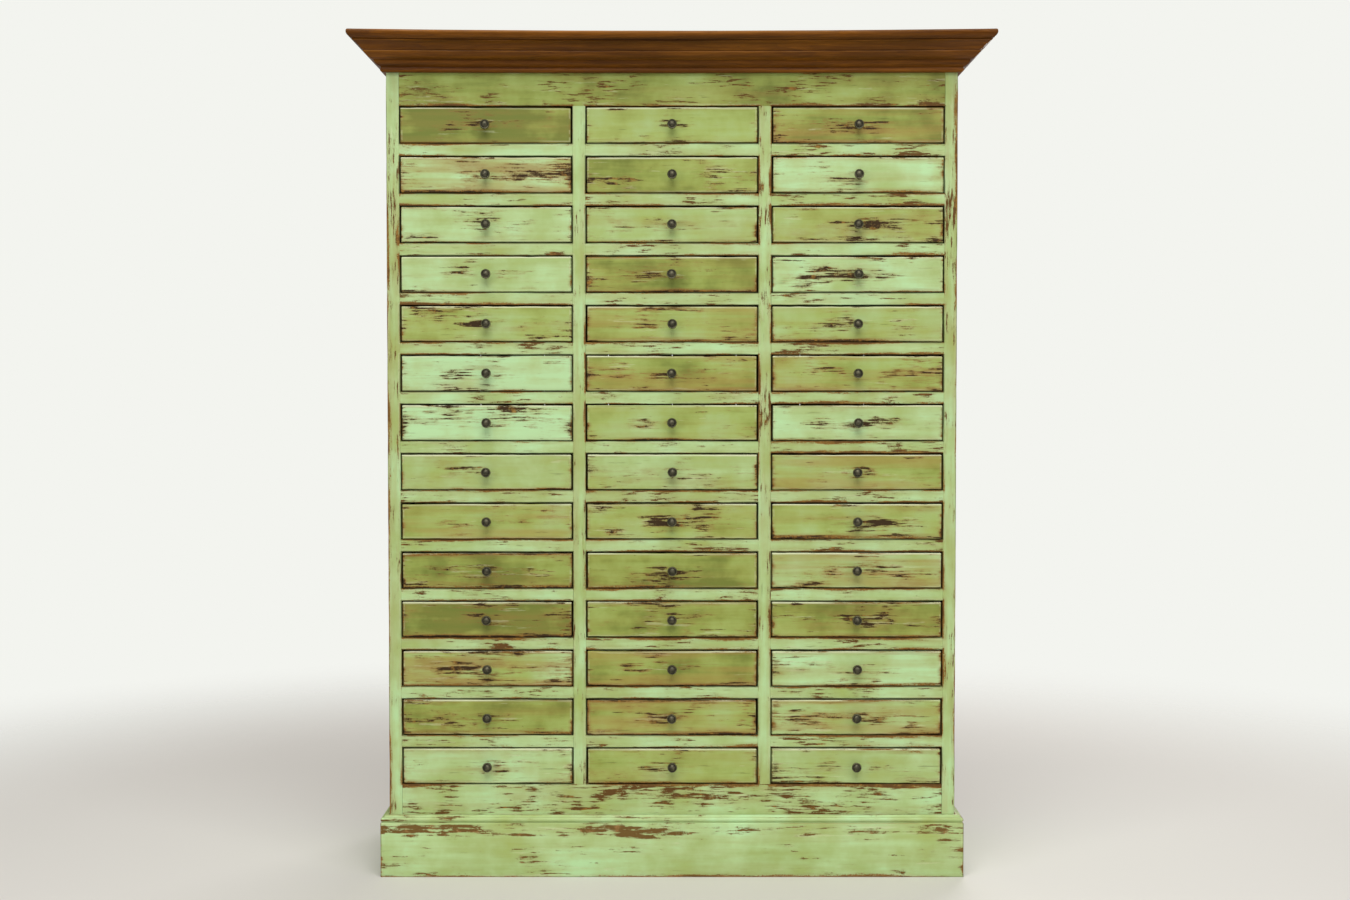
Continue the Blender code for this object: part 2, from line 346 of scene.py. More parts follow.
def board_space() -> Effect:
    """The group that says where a point lies on its own board.

    Returns:
        The group. Stretched is the place with the grain's direction squeezed, so that a pattern
        on it comes out long; Plain isn't squeezed; Local is measured from the board's middle;
        Edge is the distance to the nearest arris.
    """
    effect = Effect("Board space", {"Stretch": 8.0}, "Edge", "Stretched Plain Local")
    g = effect.graph
    here = g.add("TexCoord").outputs["Object"]
    local = g.vector("SUBTRACT", here, g.mark(Mark.CENTRE))
    grain = g.mark(Mark.GRAIN)
    seed = g.mark(Mark.SEED)
    along = g.vector("DOT_PRODUCT", local, grain)
    squeeze = g.minus(1.0, g.math("DIVIDE", 1.0, effect.inputs["Stretch"]))
    taken = g.grow(grain, g.times(along, squeeze))
    stretched = g.vector("ADD", g.vector("SUBTRACT", local, taken), seed)
    depths = g.vector("SUBTRACT", g.mark(Mark.HALF), g.vector("ABSOLUTE", local))
    x, y, z = g.parts(depths)
    edge = g.least(g.most(x, y), g.most(y, z), g.most(x, z))
    plain = g.vector("ADD", local, seed)
    return effect.give(Stretched=stretched, Plain=plain, Local=local, Edge=edge)


def wood_figure() -> Effect:
    """The group that draws growth rings, fibres and pores.

    Returns:
        The group. Rings, Fibres and Pores are masks.
    """
    effect = Effect("Wood figure", {"Stretched": (0.0, 0.0, 0.0), "Rings": 60.0}, "Rings Fibres Pores")
    g = effect.graph
    place = effect.inputs["Stretched"]
    bend = g.noise(place, 9.0, 3.0)
    x, y, z = g.parts(place)
    across = g.plus(y, g.times(z, 0.8), g.times(x, 0.7))
    turns = g.plus(g.times(across, effect.inputs["Rings"]), g.times(bend, 9.0))
    rings = g.math("POWER", g.math("FRACT", turns), 1.8)
    pores = g.step(g.noise(place, 900.0, 2.0, 0.5), 0.66, 0.74)
    return effect.give(Rings=rings, Fibres=g.noise(place, 420.0, 3.0, 0.6), Pores=pores)


def edge_wear() -> Effect:
    """The group that wears a coat through, in long chips and in ragged strips along the edges.

    Returns:
        The group. Bare is 1 where the coat is gone, Depth rises towards the middle of a bare
        patch, Halo is 1 in the thinned coat round it, Scuff is 1 on pale scrapes and on a
        painted highlight along the arrises, and Crevice is 1 where the arrises are darkened,
        partly by grime and partly by painted shade that widens the gap lines.
    """
    inputs = {name: (0.0, 0.0, 0.0) for name in ("Stretched", "Plain")}
    inputs |= {"Edge": 0.01, "Crest": 0.0, "Wear": 0.5, "Chips": 0.0, "Strips": 0.0}
    effect = Effect("Edge wear", inputs, "Bare Depth Halo Scuff Crevice")
    g = effect.graph
    place, plain, edge, crest, wear, chips, strips = (effect.inputs[name] for name in inputs)
    flakes = g.minus(g.noise(plain, 520.0, 3.0, 0.7), 0.5)

    # chips in the open field, in clusters
    cluster = g.noise(g.vector("ADD", plain, g.grow(place, 1.5)), 9.0, 4.0, 0.65)
    near_edge = g.step(edge, 0.002, 0.016, 0.045, 0.0)
    lift = g.plus(g.times(g.minus(cluster, 0.5), 0.85), g.times(wear, 0.07), chips, near_edge)
    level = g.plus(g.noise(place, 230.0, 8.0, 0.68), lift, g.times(flakes, 0.20))
    chip = g.step(level, 0.700, 0.708)
    chip_halo = g.times(g.step(level, 0.56, 0.70), g.step(lift, -0.02, 0.12))
    wash = g.step(g.plus(g.noise(place, 50.0, 4.0, 0.6), lift), 0.60, 0.74)

    # strips along the arrises, as wide as the reach says
    reach = g.minus(g.plus(g.noise(place, 44.0, 8.0, 0.70), strips), 0.56)
    reach = g.plus(reach, g.times(wear, 0.06))
    width = g.times(g.most(reach, 0.0), 0.040)
    frayed = g.times(g.plus(width, g.times(flakes, 0.0090)), g.step(reach, -0.005, 0.02))
    inside = g.minus(frayed, edge)
    strip_halo = g.step(g.minus(g.plus(width, 0.007), edge), 0.0, 0.008)
    strip_halo = g.times(strip_halo, g.step(reach, -0.12, 0.05))
    crest = g.step(g.times(crest, g.step(reach, -0.03, 0.03)), 0.55, 0.7)

    # pale scrapes, a painted highlight band along the arrises, and dark crevices that are partly grime and
    # partly painted shade
    # painted highlight: a pale band 1.2 to 4.6 mm in from each arris, where light catches the rounding
    rub_highlight = g.times(g.step(edge, 0.0012, 0.0020), g.step(edge, 0.0026, 0.0046, 1.0, 0.0))
    rub_highlight = g.times(rub_highlight, g.step(g.noise(place, 75.0, 5.0, 0.62), 0.44, 0.54))
    scrape = g.step(g.plus(g.noise(place, 150.0, 7.0, 0.68), g.times(lift, 0.5)), 0.64, 0.70)
    # painted shade with some grime: darkens the last 2.4 mm before each arris, so the dark gap lines read
    # wider
    crevice_shade = g.step(edge, 0.0008, 0.0024, 1.0, 0.0)
    crevice_shade = g.times(crevice_shade, g.step(g.noise(place, 120.0, 6.0, 0.65), 0.38, 0.52))
    return effect.give(
        Bare=g.most(chip, g.step(inside, 0.0, 0.0002), crest),
        Depth=g.most(g.step(level, 0.700, 0.720), g.step(inside, 0.0006, 0.0030)),
        Halo=g.most(chip_halo, g.times(wash, 0.5), strip_halo),
        Scuff=g.most(scrape, rub_highlight),
        Crevice=crevice_shade,
    )


def grime() -> Effect:
    """The group that lays soft dirt and dust.

    Returns:
        The group. Cloud is a broad soft mask, Speck a fine one, and Dust lies on faces that
        look up.
    """
    effect = Effect("Grime", {"Plain": (0.0, 0.0, 0.0), "Size": 9.0}, "Cloud Speck Dust")
    g = effect.graph
    place, size = (effect.inputs[name] for name in ("Plain", "Size"))
    up = g.parts(g.add("NewGeometry").outputs["Normal"])[2]
    return effect.give(
        Cloud=g.step(g.noise(place, size, 3.0, 0.5), 0.36, 0.64),
        Speck=g.step(g.noise(place, 240.0, 3.0, 0.6), 0.66, 0.74),
        Dust=g.times(g.step(up, 0.6, 0.95), g.noise(place, 25.0, 5.0, 0.65)),
    )


class Effects:
    """The node groups that the finishes share."""

    def __init__(self) -> None:
        """Builds each group once."""
        self.space = board_space()
        self.figure = wood_figure()
        self.wear = edge_wear()
        self.grime = grime()


# ---------------------------------------------------------------------------------------------
# Finishes
# ---------------------------------------------------------------------------------------------


def new_material(name: str) -> tuple[bpy.types.Material, Graph, bpy.types.Node]:
    """An empty material.

    Args:
        name: the material's name.

    Returns:
        The material, its graph and its Principled shader.
    """
    material = bpy.data.materials.new(name)
    material.use_nodes = True
    return material, Graph(material.node_tree), material.node_tree.nodes["Principled BSDF"]


class Coating:
    """A material being made on the shared groups."""

    def __init__(self, name: str, effects: Effects, stretch: float) -> None:
        """Starts it with the places and marks that every finish reads.

        Args:
            name: the material's name.
            effects: the shared node groups.
            stretch: how long its patterns run along the grain.
        """
        self.material, self.g, self.shader = new_material(name)
        self.effects = effects
        self.space = self.g.group(effects.space, Stretch=stretch)
        self.plain, self.stretched = self.space["Plain"], self.space["Stretched"]
        self.tone, self.haze, self.wear = self.g.parts(self.g.mark(Mark.LOOK))
        relief = self.g.parts(self.g.mark(Mark.RELIEF))[0]
        self.crest = self.g.most(relief, 0.0)
        self.hollow = self.g.most(self.g.times(relief, -1.0), 0.0)

    def figure(self, rings: float) -> bpy.types.bpy_prop_collection:
        """The wood's rings, fibres and pores."""
        return self.g.group(self.effects.figure, Stretched=self.stretched, Rings=rings)

    def dirt(self, place: bpy.types.NodeSocket, size: float) -> bpy.types.bpy_prop_collection:
        """The clouds, specks and dust."""
        return self.g.group(self.effects.grime, Plain=place, Size=size)

    def finish(
        self, colour: Colour, roughness: Number, height: bpy.types.NodeSocket, depth: float, **sheen: float
    ) -> bpy.types.Material:
        """Feeds the shader.

        Args:
            colour: the surface's colour.
            roughness: its roughness.
            height: its relief, 0 to 1.
            depth: how deep a height of 1 is, in metres.
            **sheen: the shader's other settings, by name with _ for a space.

        Returns:
            The material.
        """
        bump = self.g.add("Bump", Height=height, Distance=depth, Strength=1.0).outputs["Normal"]
        inputs = {"Base_Color": colour, "Roughness": roughness, "Normal": bump, **sheen}
        for name, value in inputs.items():
            self.g.feed(self.shader.inputs[name.replace("_", " ")], value)
        return self.material


TONE_COLOURS = {
    Tone.MINT: srgb(187, 224, 166),
    Tone.PALE: srgb(181, 207, 144),
    Tone.SAGE: srgb(169, 191, 121),
    Tone.LEAF: srgb(163, 180, 98),
    Tone.OLIVE: srgb(146, 158, 74),
    Tone.DARK: srgb(114, 124, 50),
}


@dataclass(frozen=True)
class WornPaint:
    """Flat green paint over brown wood, dirtied, rubbed and chipped, with a painted highlight along its
    arrises and painted shade in its crevices and hollows.
    """

    name: str
    chips: float = 0.0  # raises or lowers how much is chipped in the open field
    strips: float = 0.0  # the same for the strips along the edges
    foot_strips: float = 0.0  # how much more the lower edge is worn than the upper one
    stretch: float = 9.0
    band_height: float = 0.0  # where more is chipped, over the board's middle
    band_width: float = 0.017
    band_rise: float = 0.0  # how much more is chipped there
    band_reach: float = 0.0  # how far from the middle it runs, or 0 for the whole length
    halo: float = 0.30  # how far the coat round a bare patch turns brown
    scuff_highlight_strength: float = 0.35  # how pale the coat turns on scrapes and on the painted highlight along the arrises
    rim: float = 0.0  # how strong the painted highlight along its upper arris is
    pattern: float = 1.0  # under 1 for larger and fewer chips
    dark_wood: tuple[float, float, float] = srgb(56, 37, 6)
    rust: tuple[float, float, float] = srgb(130, 92, 28)
    light_wood: tuple[float, float, float] = srgb(166, 124, 56)
    openings: Layout | None = None  # for the face frame, which wears round its openings

    def material(self, effects: Effects) -> bpy.types.Material:
        """Builds the material from the shared groups.

        Args:
            effects: the shared node groups.

        Returns:
            The material.
        """
        coating = Coating(self.name, effects, self.stretch)
        g, plain, stretched = coating.g, coating.plain, coating.stretched
        dirt = coating.dirt(stretched, 50.0)
        x, _, z = g.parts(coating.space["Local"])
        worn = g.group(
            effects.wear,
            Stretched=g.grow(stretched, self.pattern),
            Plain=plain,
            Edge=self._round_openings(g) if self.openings else coating.space["Edge"],
            Crest=coating.crest,
            Wear=coating.wear,
            Chips=g.plus(self._band(g, x, z), self.chips),
            Strips=g.step(z, -0.004, 0.004, self.strips + self.foot_strips, self.strips),
        )
        bare = worn["Bare"]
        stain = g.mix(g.noise(plain, 30.0, 3.0), srgb(168, 122, 66), srgb(118, 92, 40))
        thin = g.times(worn["Halo"], g.plus(g.times(coating.haze, 0.5), self.halo))
        coat = g.mix(thin, self._coat(coating, dirt["Cloud"], worn["Scuff"]), stain)
        # dark olive along the arrises: partly grime, partly painted shade that widens the gap lines
        coat = g.layers(coat, (worn["Crevice"], 0.5, srgb(60, 54, 22)))
        # a painted highlight: a pale line along the upper arris, where light from above catches it
        if self.rim:
            top = g.parts(g.mark(Mark.HALF))[2]
            top_highlight = g.step(g.minus(top, z), 0.0012, 0.0030, 1.0, 0.0)
            top_highlight = g.times(top_highlight, g.step(g.noise(stretched, 60.0, 5.0), 0.38, 0.56))
            coat = g.layers(coat, (top_highlight, self.rim, srgb(226, 230, 190)))
        # darker in a moulding's hollows: partly grime, partly painted shade in the quirks
        coat = g.layers(coat, (coating.hollow, 0.6, srgb(92, 88, 44)))
        colour = g.mix(bare, coat, self._wood(coating, worn["Depth"]))
        colour = g.layers(colour, (dirt["Speck"], 0.35, srgb(66, 58, 24)))
        brush = g.noise(stretched, 330.0, 4.0, 0.6)
        height = g.plus(g.times(brush, 0.25), g.times(g.minus(1.0, bare), 0.6))
        rough = g.step(bare, 0.0, 1.0, 0.52, 0.72)
        return coating.finish(colour, rough, height, 0.0004, Specular_IOR_Level=0.32)

    def _band(self, g: Graph, x: bpy.types.NodeSocket, z: bpy.types.NodeSocket) -> Number:
        """How much more is chipped in the band that is touched or knocked most.

        Args:
            g: the material's graph.
            x: the place along the board, from its middle.
            z: the height over its middle.

        Returns:
            The rise, 0 where there is none.
        """
        if not self.band_rise:
            return 0.0
        off = g.math("ABSOLUTE", g.minus(z, self.band_height))
        band = g.step(off, self.band_width * 0.25, self.band_width, 1.0, 0.0)
        if self.band_reach:
            near = g.step(g.math("ABSOLUTE", x), 0.02, self.band_reach, 1.0, 0.25)
            band = g.times(band, near)
        return g.minus(g.times(band, self.band_rise), 0.02)

    def _round_openings(self, g: Graph) -> bpy.types.NodeSocket:
        """The distance to the nearest opening or to the frame's outer edge.

        Args:
            g: the material's graph.

        Returns:
            The distance in metres.
        """
        layout = self.openings
        x, _, z = g.parts(g.add("TexCoord").outputs["Object"])
        last = layout.opening(layout.rows[-1], layout.bays[1])
        level = (last.sill + last.head) / 2
        ways = []
        for place, first, pitch, least, most, size in (
            (x, last.centre, layout.bay_pitch, -1, 1, layout.opening_width),
            (z, level, layout.row_pitch, 0, len(layout.rows) - 1, layout.opening_height),
        ):
            steps = g.math("DIVIDE", g.minus(place, first), pitch)
            steps = g.least(g.most(g.math("ROUND", steps), least), most)
            off = g.math("ABSOLUTE", g.minus(place, g.plus(g.times(steps, pitch), first)))
            ways.append(g.most(g.minus(off, size / 2), 0.0))
        inner = g.math("SQRT", g.plus(*(g.times(way, way) for way in ways)))
        outer = g.minus(abs(layout.case_left), g.math("ABSOLUTE", x))
        return g.least(inner, outer)

    def _wood(self, coating: Coating, depth: bpy.types.NodeSocket) -> bpy.types.NodeSocket:
        """The brown wood that shows through.

        Args:
            coating: the material.
            depth: how deep in a bare patch a point lies.

        Returns:
            The colour.
        """
        g = coating.g
        wood = g.mix(coating.figure(90.0)["Fibres"], self.rust, self.light_wood)
        patches = g.step(g.noise(coating.plain, 55.0, 5.0, 0.65), 0.32, 0.46)
        return g.mix(g.times(depth, patches), wood, self.dark_wood)

    def _coat(
        self, coating: Coating, cloud: bpy.types.NodeSocket, scuff: bpy.types.NodeSocket
    ) -> bpy.types.NodeSocket:
        """The paint's own colour, before it is chipped.

        Args:
            coating: the material.
            cloud: the soft mask of the dirt.
            scuff: the mask of the pale scrapes and of the painted highlight along the arrises.

        Returns:
            The colour.
        """
        g = coating.g
        soft = g.minus(g.noise(coating.plain, 11.0), 0.5)
        streak = g.minus(g.noise(coating.stretched, 60.0, 5.0, 0.6), 0.5)
        drift = g.plus(g.times(soft, 1.2), coating.tone, g.times(streak, 0.55))
        colour = g.ramp(drift, *((tone.value, colour) for tone, colour in TONE_COLOURS.items()))
        glaze = g.times(cloud, g.plus(g.times(coating.haze, 0.7), 0.05))
        colour = g.mix(glaze, colour, srgb(164, 138, 68))
        # pale scrapes, and the painted highlight along the arrises
        return g.layers(colour, (scuff, self.scuff_highlight_strength, srgb(212, 217, 172)))


def brown_stain(effects: Effects) -> bpy.types.Material:
    """Brown stained wood under an old satin varnish.

    Args:
        effects: the shared node groups.

    Returns:
        The material.
    """
    coating = Coating("brown_stain", effects, 16.0)
    g, figure, dirt = coating.g, coating.figure(50.0), coating.dirt(coating.plain, 7.0)
    streak = g.noise(coating.stretched, 46.0, 5.0, 0.6)
    streak = g.plus(g.times(figure["Fibres"], 0.3), g.times(streak, 0.7))
    colour = g.ramp(
        streak, (0.32, srgb(76, 38, 0)), (0.50, srgb(116, 66, 4)), (0.68, srgb(156, 94, 16))
    )
    # crests lightened: partly worn stain, partly a painted highlight on the moulding's arrises
    rub_highlight = g.times(coating.crest, g.step(streak, 0.35, 0.6))
    colour = g.layers(
        colour,
        (figure["Rings"], 0.3, srgb(62, 33, 8)),
        (figure["Pores"], 0.6, srgb(40, 22, 6)),
        (dirt["Cloud"], 0.25, srgb(74, 44, 12)),
        # painted shade in the coves, with some grime
        (coating.hollow, 0.75, srgb(44, 24, 6)),
        (rub_highlight, coating.wear, srgb(168, 112, 44)),
        (dirt["Dust"], 0.16, srgb(150, 138, 118)),
    )
    rough = g.plus(g.times(dirt["Cloud"], 0.14), 0.34)
    height = g.plus(figure["Fibres"], g.times(figure["Pores"], -0.5))
    return coating.finish(colour, rough, height, 0.0003, Specular_IOR_Level=0.18)


def bare_wood(effects: Effects) -> bpy.types.Material:
    """Unfinished softwood gone brown and dusty.

    Args:
        effects: the shared node groups.

    Returns:
        The material.
    """
    coating = Coating("bare_wood", effects, 14.0)
    g, figure, dirt = coating.g, coating.figure(110.0), coating.dirt(coating.plain, 8.0)
    tone = g.plus(g.times(figure["Rings"], 0.7), g.times(coating.tone, 0.3))
    colour = g.ramp(
        tone, (0.0, srgb(196, 160, 112)), (0.6, srgb(172, 131, 84)), (1.0, srgb(138, 96, 56))
    )
    colour = g.layers(
        colour, (figure["Fibres"], 0.35, srgb(204, 172, 126)), (figure["Pores"], 0.4, srgb(96, 64, 34))
    )
    colour = g.mix(g.step(coating.space["Edge"], 0.0, 0.010, 0.45, 0.0), colour, srgb(104, 74, 44))
    colour = g.layers(
        colour, (dirt["Cloud"], 0.30, srgb(112, 82, 52)), (dirt["Dust"], 0.35, srgb(168, 156, 134))
    )
    rough = g.step(figure["Fibres"], 0.3, 0.7, 0.66, 0.82)
    height = g.plus(figure["Fibres"], g.times(figure["Rings"], 0.3))
    return coating.finish(colour, rough, height, 0.0004)


def dark_bronze(effects: Effects) -> bpy.types.Material:
    """Bronze gone nearly black, rubbed bright where fingers touch it.

    Args:
        effects: the shared node groups.

    Returns:
        The material.
    """
    coating = Coating("dark_bronze", effects, 1.0)
    g, cloud = coating.g, coating.dirt(coating.plain, 160.0)["Cloud"]
    crest = g.times(coating.crest, g.step(cloud, 0.0, 1.0, 0.5, 1.0))
    colour = g.mix(crest, g.mix(cloud, srgb(66, 64, 51), srgb(90, 86, 69)), srgb(126, 120, 98))
    colour = g.layers(colour, (coating.hollow, 0.85, srgb(24, 22, 16)))
    rough = g.step(crest, 0.0, 1.0, 0.50, 0.34)
    height = g.noise(coating.plain, 900.0, 3.0, 0.6)
    return coating.finish(colour, rough, height, 0.0002, Metallic=0.85)


class Finishes:
    """Every material of the cabinet."""

    def __init__(self, layout: Layout) -> None:
        """Builds the shared groups and then each material.

        Args:
            layout: the openings that the face frame wears round.
        """
        effects = Effects()
        self.frame_paint = WornPaint(
            "frame_paint",
            chips=-0.015,
            strips=0.02,
            stretch=11.0,
            halo=0.12,
            scuff_highlight_strength=0.3,
            dark_wood=srgb(98, 66, 22),
            openings=layout,
        ).material(effects)
        self.case_paint = WornPaint("case_paint", chips=-0.03, halo=0.2).material(effects)
        self.drawer_paint = WornPaint(
            "drawer_paint",
            chips=-0.015,
            strips=-0.02,
            foot_strips=0.055,
            stretch=15.0,
            band_rise=0.11,
            band_reach=0.13,
            halo=0.40,
            # rim lays a painted highlight along each front's upper arris
            rim=0.7,
        ).material(effects)
        self.plinth_paint = WornPaint(
            "plinth_paint",
            chips=-0.012,
            strips=0.02,
            halo=0.10,
            stretch=12.0,
            band_height=0.030,
            band_width=0.018,
            band_rise=0.15,
            pattern=0.6,
            dark_wood=srgb(110, 82, 34),
            rust=srgb(136, 100, 48),
            light_wood=srgb(164, 124, 74),
        ).material(effects)
        self.stain = brown_stain(effects)
        self.wood = bare_wood(effects)
        self.bronze = dark_bronze(effects)


# ---------------------------------------------------------------------------------------------
# Woodwork
# ---------------------------------------------------------------------------------------------


@dataclass(frozen=True)
class Look:
    """What sets one board's finish apart from the next."""

    tone: float = Tone.SAGE.value
    haze: float = 0.25
    wear: float = 0.5

    @property
    def vector(self) -> Vector:
        """The three values together."""
        return Vector((self.tone, self.haze, self.wear))


@dataclass(frozen=True)
class Stock:
    """One board as it lies in the cabinet."""

    low: Vector
    high: Vector
    grain: Axis
    look: Look = field(default_factory=Look)
    easing: float = 0.0010  # how far its edges are rounded
    segments: int = 2
    butted: bool = False  # its ends meet other boards, so they stay square and don't wear
    spacing: float = 0.03  # between cuts across the grain, which let it waver
    waver: float = 0.00015
    nicks: float = 0.0
    seeded: bool = True  # False where neighbouring boards share one coat

    @property
    def middle(self) -> Vector:
        """The board's centre."""
        return (self.low + self.high) / 2

    @property
    def half(self) -> Vector:
        """Half the board's size, longer along the grain where its ends don't wear."""
        size = (self.high - self.low) / 2
        return size + self.grain.vector if self.butted else size

    def block(self) -> bmesh.types.BMesh:
        """The board's shape, with eased and slightly uneven edges.

        Returns:
            The shape, in place.
        """
        block = bmesh.new()
        bmesh.ops.create_cube(block, size=1.0)
        bmesh.ops.scale(block, vec=self.high - self.low, verts=block.verts)
        bmesh.ops.translate(block, vec=self.middle, verts=block.verts)
        eased = [edge for edge in block.edges if not self.butted or self._runs_along(edge)]
        rounded = bmesh.ops.bevel(
            block,
            geom=eased,
            offset=self.easing,
            offset_type="OFFSET",
            affect="EDGES",
            segments=self.segments,
            profile=0.5,
            material=-1,
        )
        for face in rounded["faces"]:
            face.smooth = True
        arris = {vert for face in rounded["faces"] for vert in face.verts}
        cut_across(block, self.grain, self.spacing)
        arris = [vert for vert in block.verts if vert in arris or self._on_arris(vert)]
        self._wear_down(block, arris)
        return block

    def _runs_along(self, edge: bmesh.types.BMEdge) -> bool:
        """Whether an edge lies along the grain."""
        direction = (edge.verts[1].co - edge.verts[0].co).normalized()
        return abs(direction.dot(self.grain.vector)) > 0.5

    def _on_arris(self, vert: bmesh.types.BMVert) -> bool:
        """Whether a point lies within the rounding of an edge."""
        size = (self.high - self.low) / 2
        depths = sorted(size[i] - abs(vert.co[i] - self.middle[i]) for i in range(3))
        return depths[1] < self.easing * 1.01

    def _wear_down(self, block: bmesh.types.BMesh, arris: list[bmesh.types.BMVert]) -> None:
        """Makes the faces waver and dents the arrises.

        Args:
            block: the board's shape.
            arris: the points on its rounded edges.
        """
        seed = Vector((self.middle.z * 7, self.middle.x * 5, 0.0))
        inwards = self.middle.copy()
        for vert in arris:
            dent = noise.noise(vert.co * 55 + seed) - 0.12
            if dent > 0 and self.nicks:
                inwards[self.grain.index] = vert.co[self.grain.index]
                vert.co += (inwards - vert.co).normalized() * min(dent * 4, 1.0) * self.nicks
        for vert in block.verts:
            shift = noise.noise_vector(vert.co * 9 + seed) * self.waver
            if self.butted:
                shift[self.grain.index] = 0.0
            vert.co = Vector(map(max, map(min, vert.co + shift, self.high), self.low))


def cut_across(block: bmesh.types.BMesh, grain: Axis, spacing: float) -> None:
    """Cuts a shape across the grain, so that it can bend and waver.

    Args:
        block: the shape.
        grain: the direction along which the cuts are spaced.
        spacing: the most that may lie between two cuts.
    """
    places = [vert.co[grain.index] for vert in block.verts]
    low, high = min(places), max(places)
    count = max(1, math.ceil((high - low) / spacing))
    for step in range(1, count):
        bmesh.ops.bisect_plane(
            block,
            geom=block.verts[:] + block.edges[:] + block.faces[:],
            plane_co=grain.vector * (low + (high - low) * step / count),
            plane_no=grain.vector,
        )


class Piece:
    """Collects shapes in one mesh and marks each with what its finish reads."""

    def __init__(self, name: str) -> None:
        """Starts an empty piece."""
        self.name = name
        self.built = bmesh.new()
        for mark in Mark:
            self.built.verts.layers.float_vector.new(mark.value)

    def add(self, shape: bmesh.types.BMesh, marks: dict[Mark, Vector]) -> None:
        """Adds a shape and frees it.

        Args:
            shape: the shape; a RELIEF mark on its own points is kept.
            marks: the marks that all its points get.
        """
        before = len(self.built.verts)
        relief = shape.verts.layers.float_vector.get(Mark.RELIEF.value)
        kept = [vert[relief].copy() for vert in shape.verts] if relief else None
        carrier = bpy.data.meshes.new("carrier")
        shape.to_mesh(carrier)
        shape.free()
        self.built.from_mesh(carrier)
        bpy.data.meshes.remove(carrier)
        self.built.verts.ensure_lookup_table()
        layers = {mark: self.built.verts.layers.float_vector[mark.value] for mark in Mark}
        for order, vert in enumerate(self.built.verts[before:]):
            for mark, value in marks.items():
                vert[layers[mark]] = value
            if kept:
                vert[layers[Mark.RELIEF]] = kept[order]

    def add_board(self, stock: Stock) -> None:
        """Adds a board with its marks."""
        draw = random.Random(f"{self.name} {len(self.built.verts)}")
        seed = Vector([draw.uniform(-9, 9) for _ in range(3)])
        if not stock.seeded:
            seed = stock.middle.copy()
        self.add(stock.block(), marks_of(stock.middle, stock.half, stock.grain, seed, stock.look))

    def finish(
        self,
        body: str,
        slot: str,
        materials: list[bpy.types.Material],
        replaces: Iterable[str] = (),
        smooth_below: float | None = None,
    ) -> bpy.types.Object:
        """Makes the object, and puts it on its body.

        Args:
            body: the frame's body that it rides on.
            slot: the record's material slot; not used.
            materials: its materials, in the order of its faces' indices.
            replaces: the frame's nodes that it stands for.
            smooth_below: the angle in degrees over which its edges are sharp, if it is round.

        Returns:
            The object.
        """
        mesh = bpy.data.meshes.new(self.name)
        self.built.to_mesh(mesh)
        self.built.free()
        for material in materials:
            mesh.materials.append(material)
        if smooth_below is not None:
            mesh.shade_smooth()
            mesh.set_sharp_from_angle(angle=math.radians(smooth_below))
        made = bpy.data.objects.new(self.name, mesh)
        bpy.context.scene.collection.objects.link(made)
        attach(made, body)
        if replaces:
            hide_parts(*replaces)
        LOG.info("%s: %d faces on %s", self.name, len(mesh.polygons), body)
        return made


def marks_of(centre: Vector, half: Vector, grain: Axis, seed: Vector, look: Look) -> dict[Mark, Vector]:
    """Everything but the relief that a shape tells its finish."""
    return dict(zip(Mark, (centre, half, grain.vector, seed, look.vector)))


def round_marks(centre: Vector, pattern: float) -> dict[Mark, Vector]:
    """The marks of a small turned shape, with a pattern of its own."""
    return marks_of(centre, Vector((1, 1, 1)), Axis.Y, centre * pattern, Look())


def painted_board(
    name: str,
    body: str,
    stock: Stock,
    materials: list[bpy.types.Material],
    unpainted: Vector,
    node: str,
    move: Matrix | None = None,
) -> None:
    """Makes a piece of one painted board with a bare side.

    Args:
        name: the piece's name.
        body: the body that it rides on.
        stock: the board.
        materials: its paint and its bare wood.
        unpainted: the way that its bare side looks.
        node: the frame's node that it stands for.
        move: what moves it from its true place, if anything does.
    """
    piece = Piece(name)
    piece.add_board(stock)
    piece.built.normal_update()
    for face in piece.built.faces:
        if face.normal.dot(unpainted) > 0.9:
            face.material_index = 1
    if move:
        piece.built.transform(move)
    piece.finish(body, PAINT_SLOT, materials, [node])


def bare_boards(
    name: str, boards: Iterable[Stock], wood: bpy.types.Material, node: str, body: str = CASE_BODY
) -> None:
    """Makes a piece of unpainted boards.

    Args:
        name: the piece's name.
        boards: its boards.
        wood: their material.
        node: the frame's node that it stands for.
        body: the body that it rides on.
    """
    piece = Piece(name)
    for stock in boards:
        piece.add_board(stock)
    piece.finish(body, WOOD_SLOT, [wood], [node])


# ---------------------------------------------------------------------------------------------
# The cabinet
# ---------------------------------------------------------------------------------------------


@dataclass(frozen=True)
class Opening:
    """One opening of the face frame."""

    row: int
    bay: str
    left: float
    right: float
    sill: float
    head: float

    @property
    def centre(self) -> float:
        """The x of its middle."""
        return (self.left + self.right) / 2


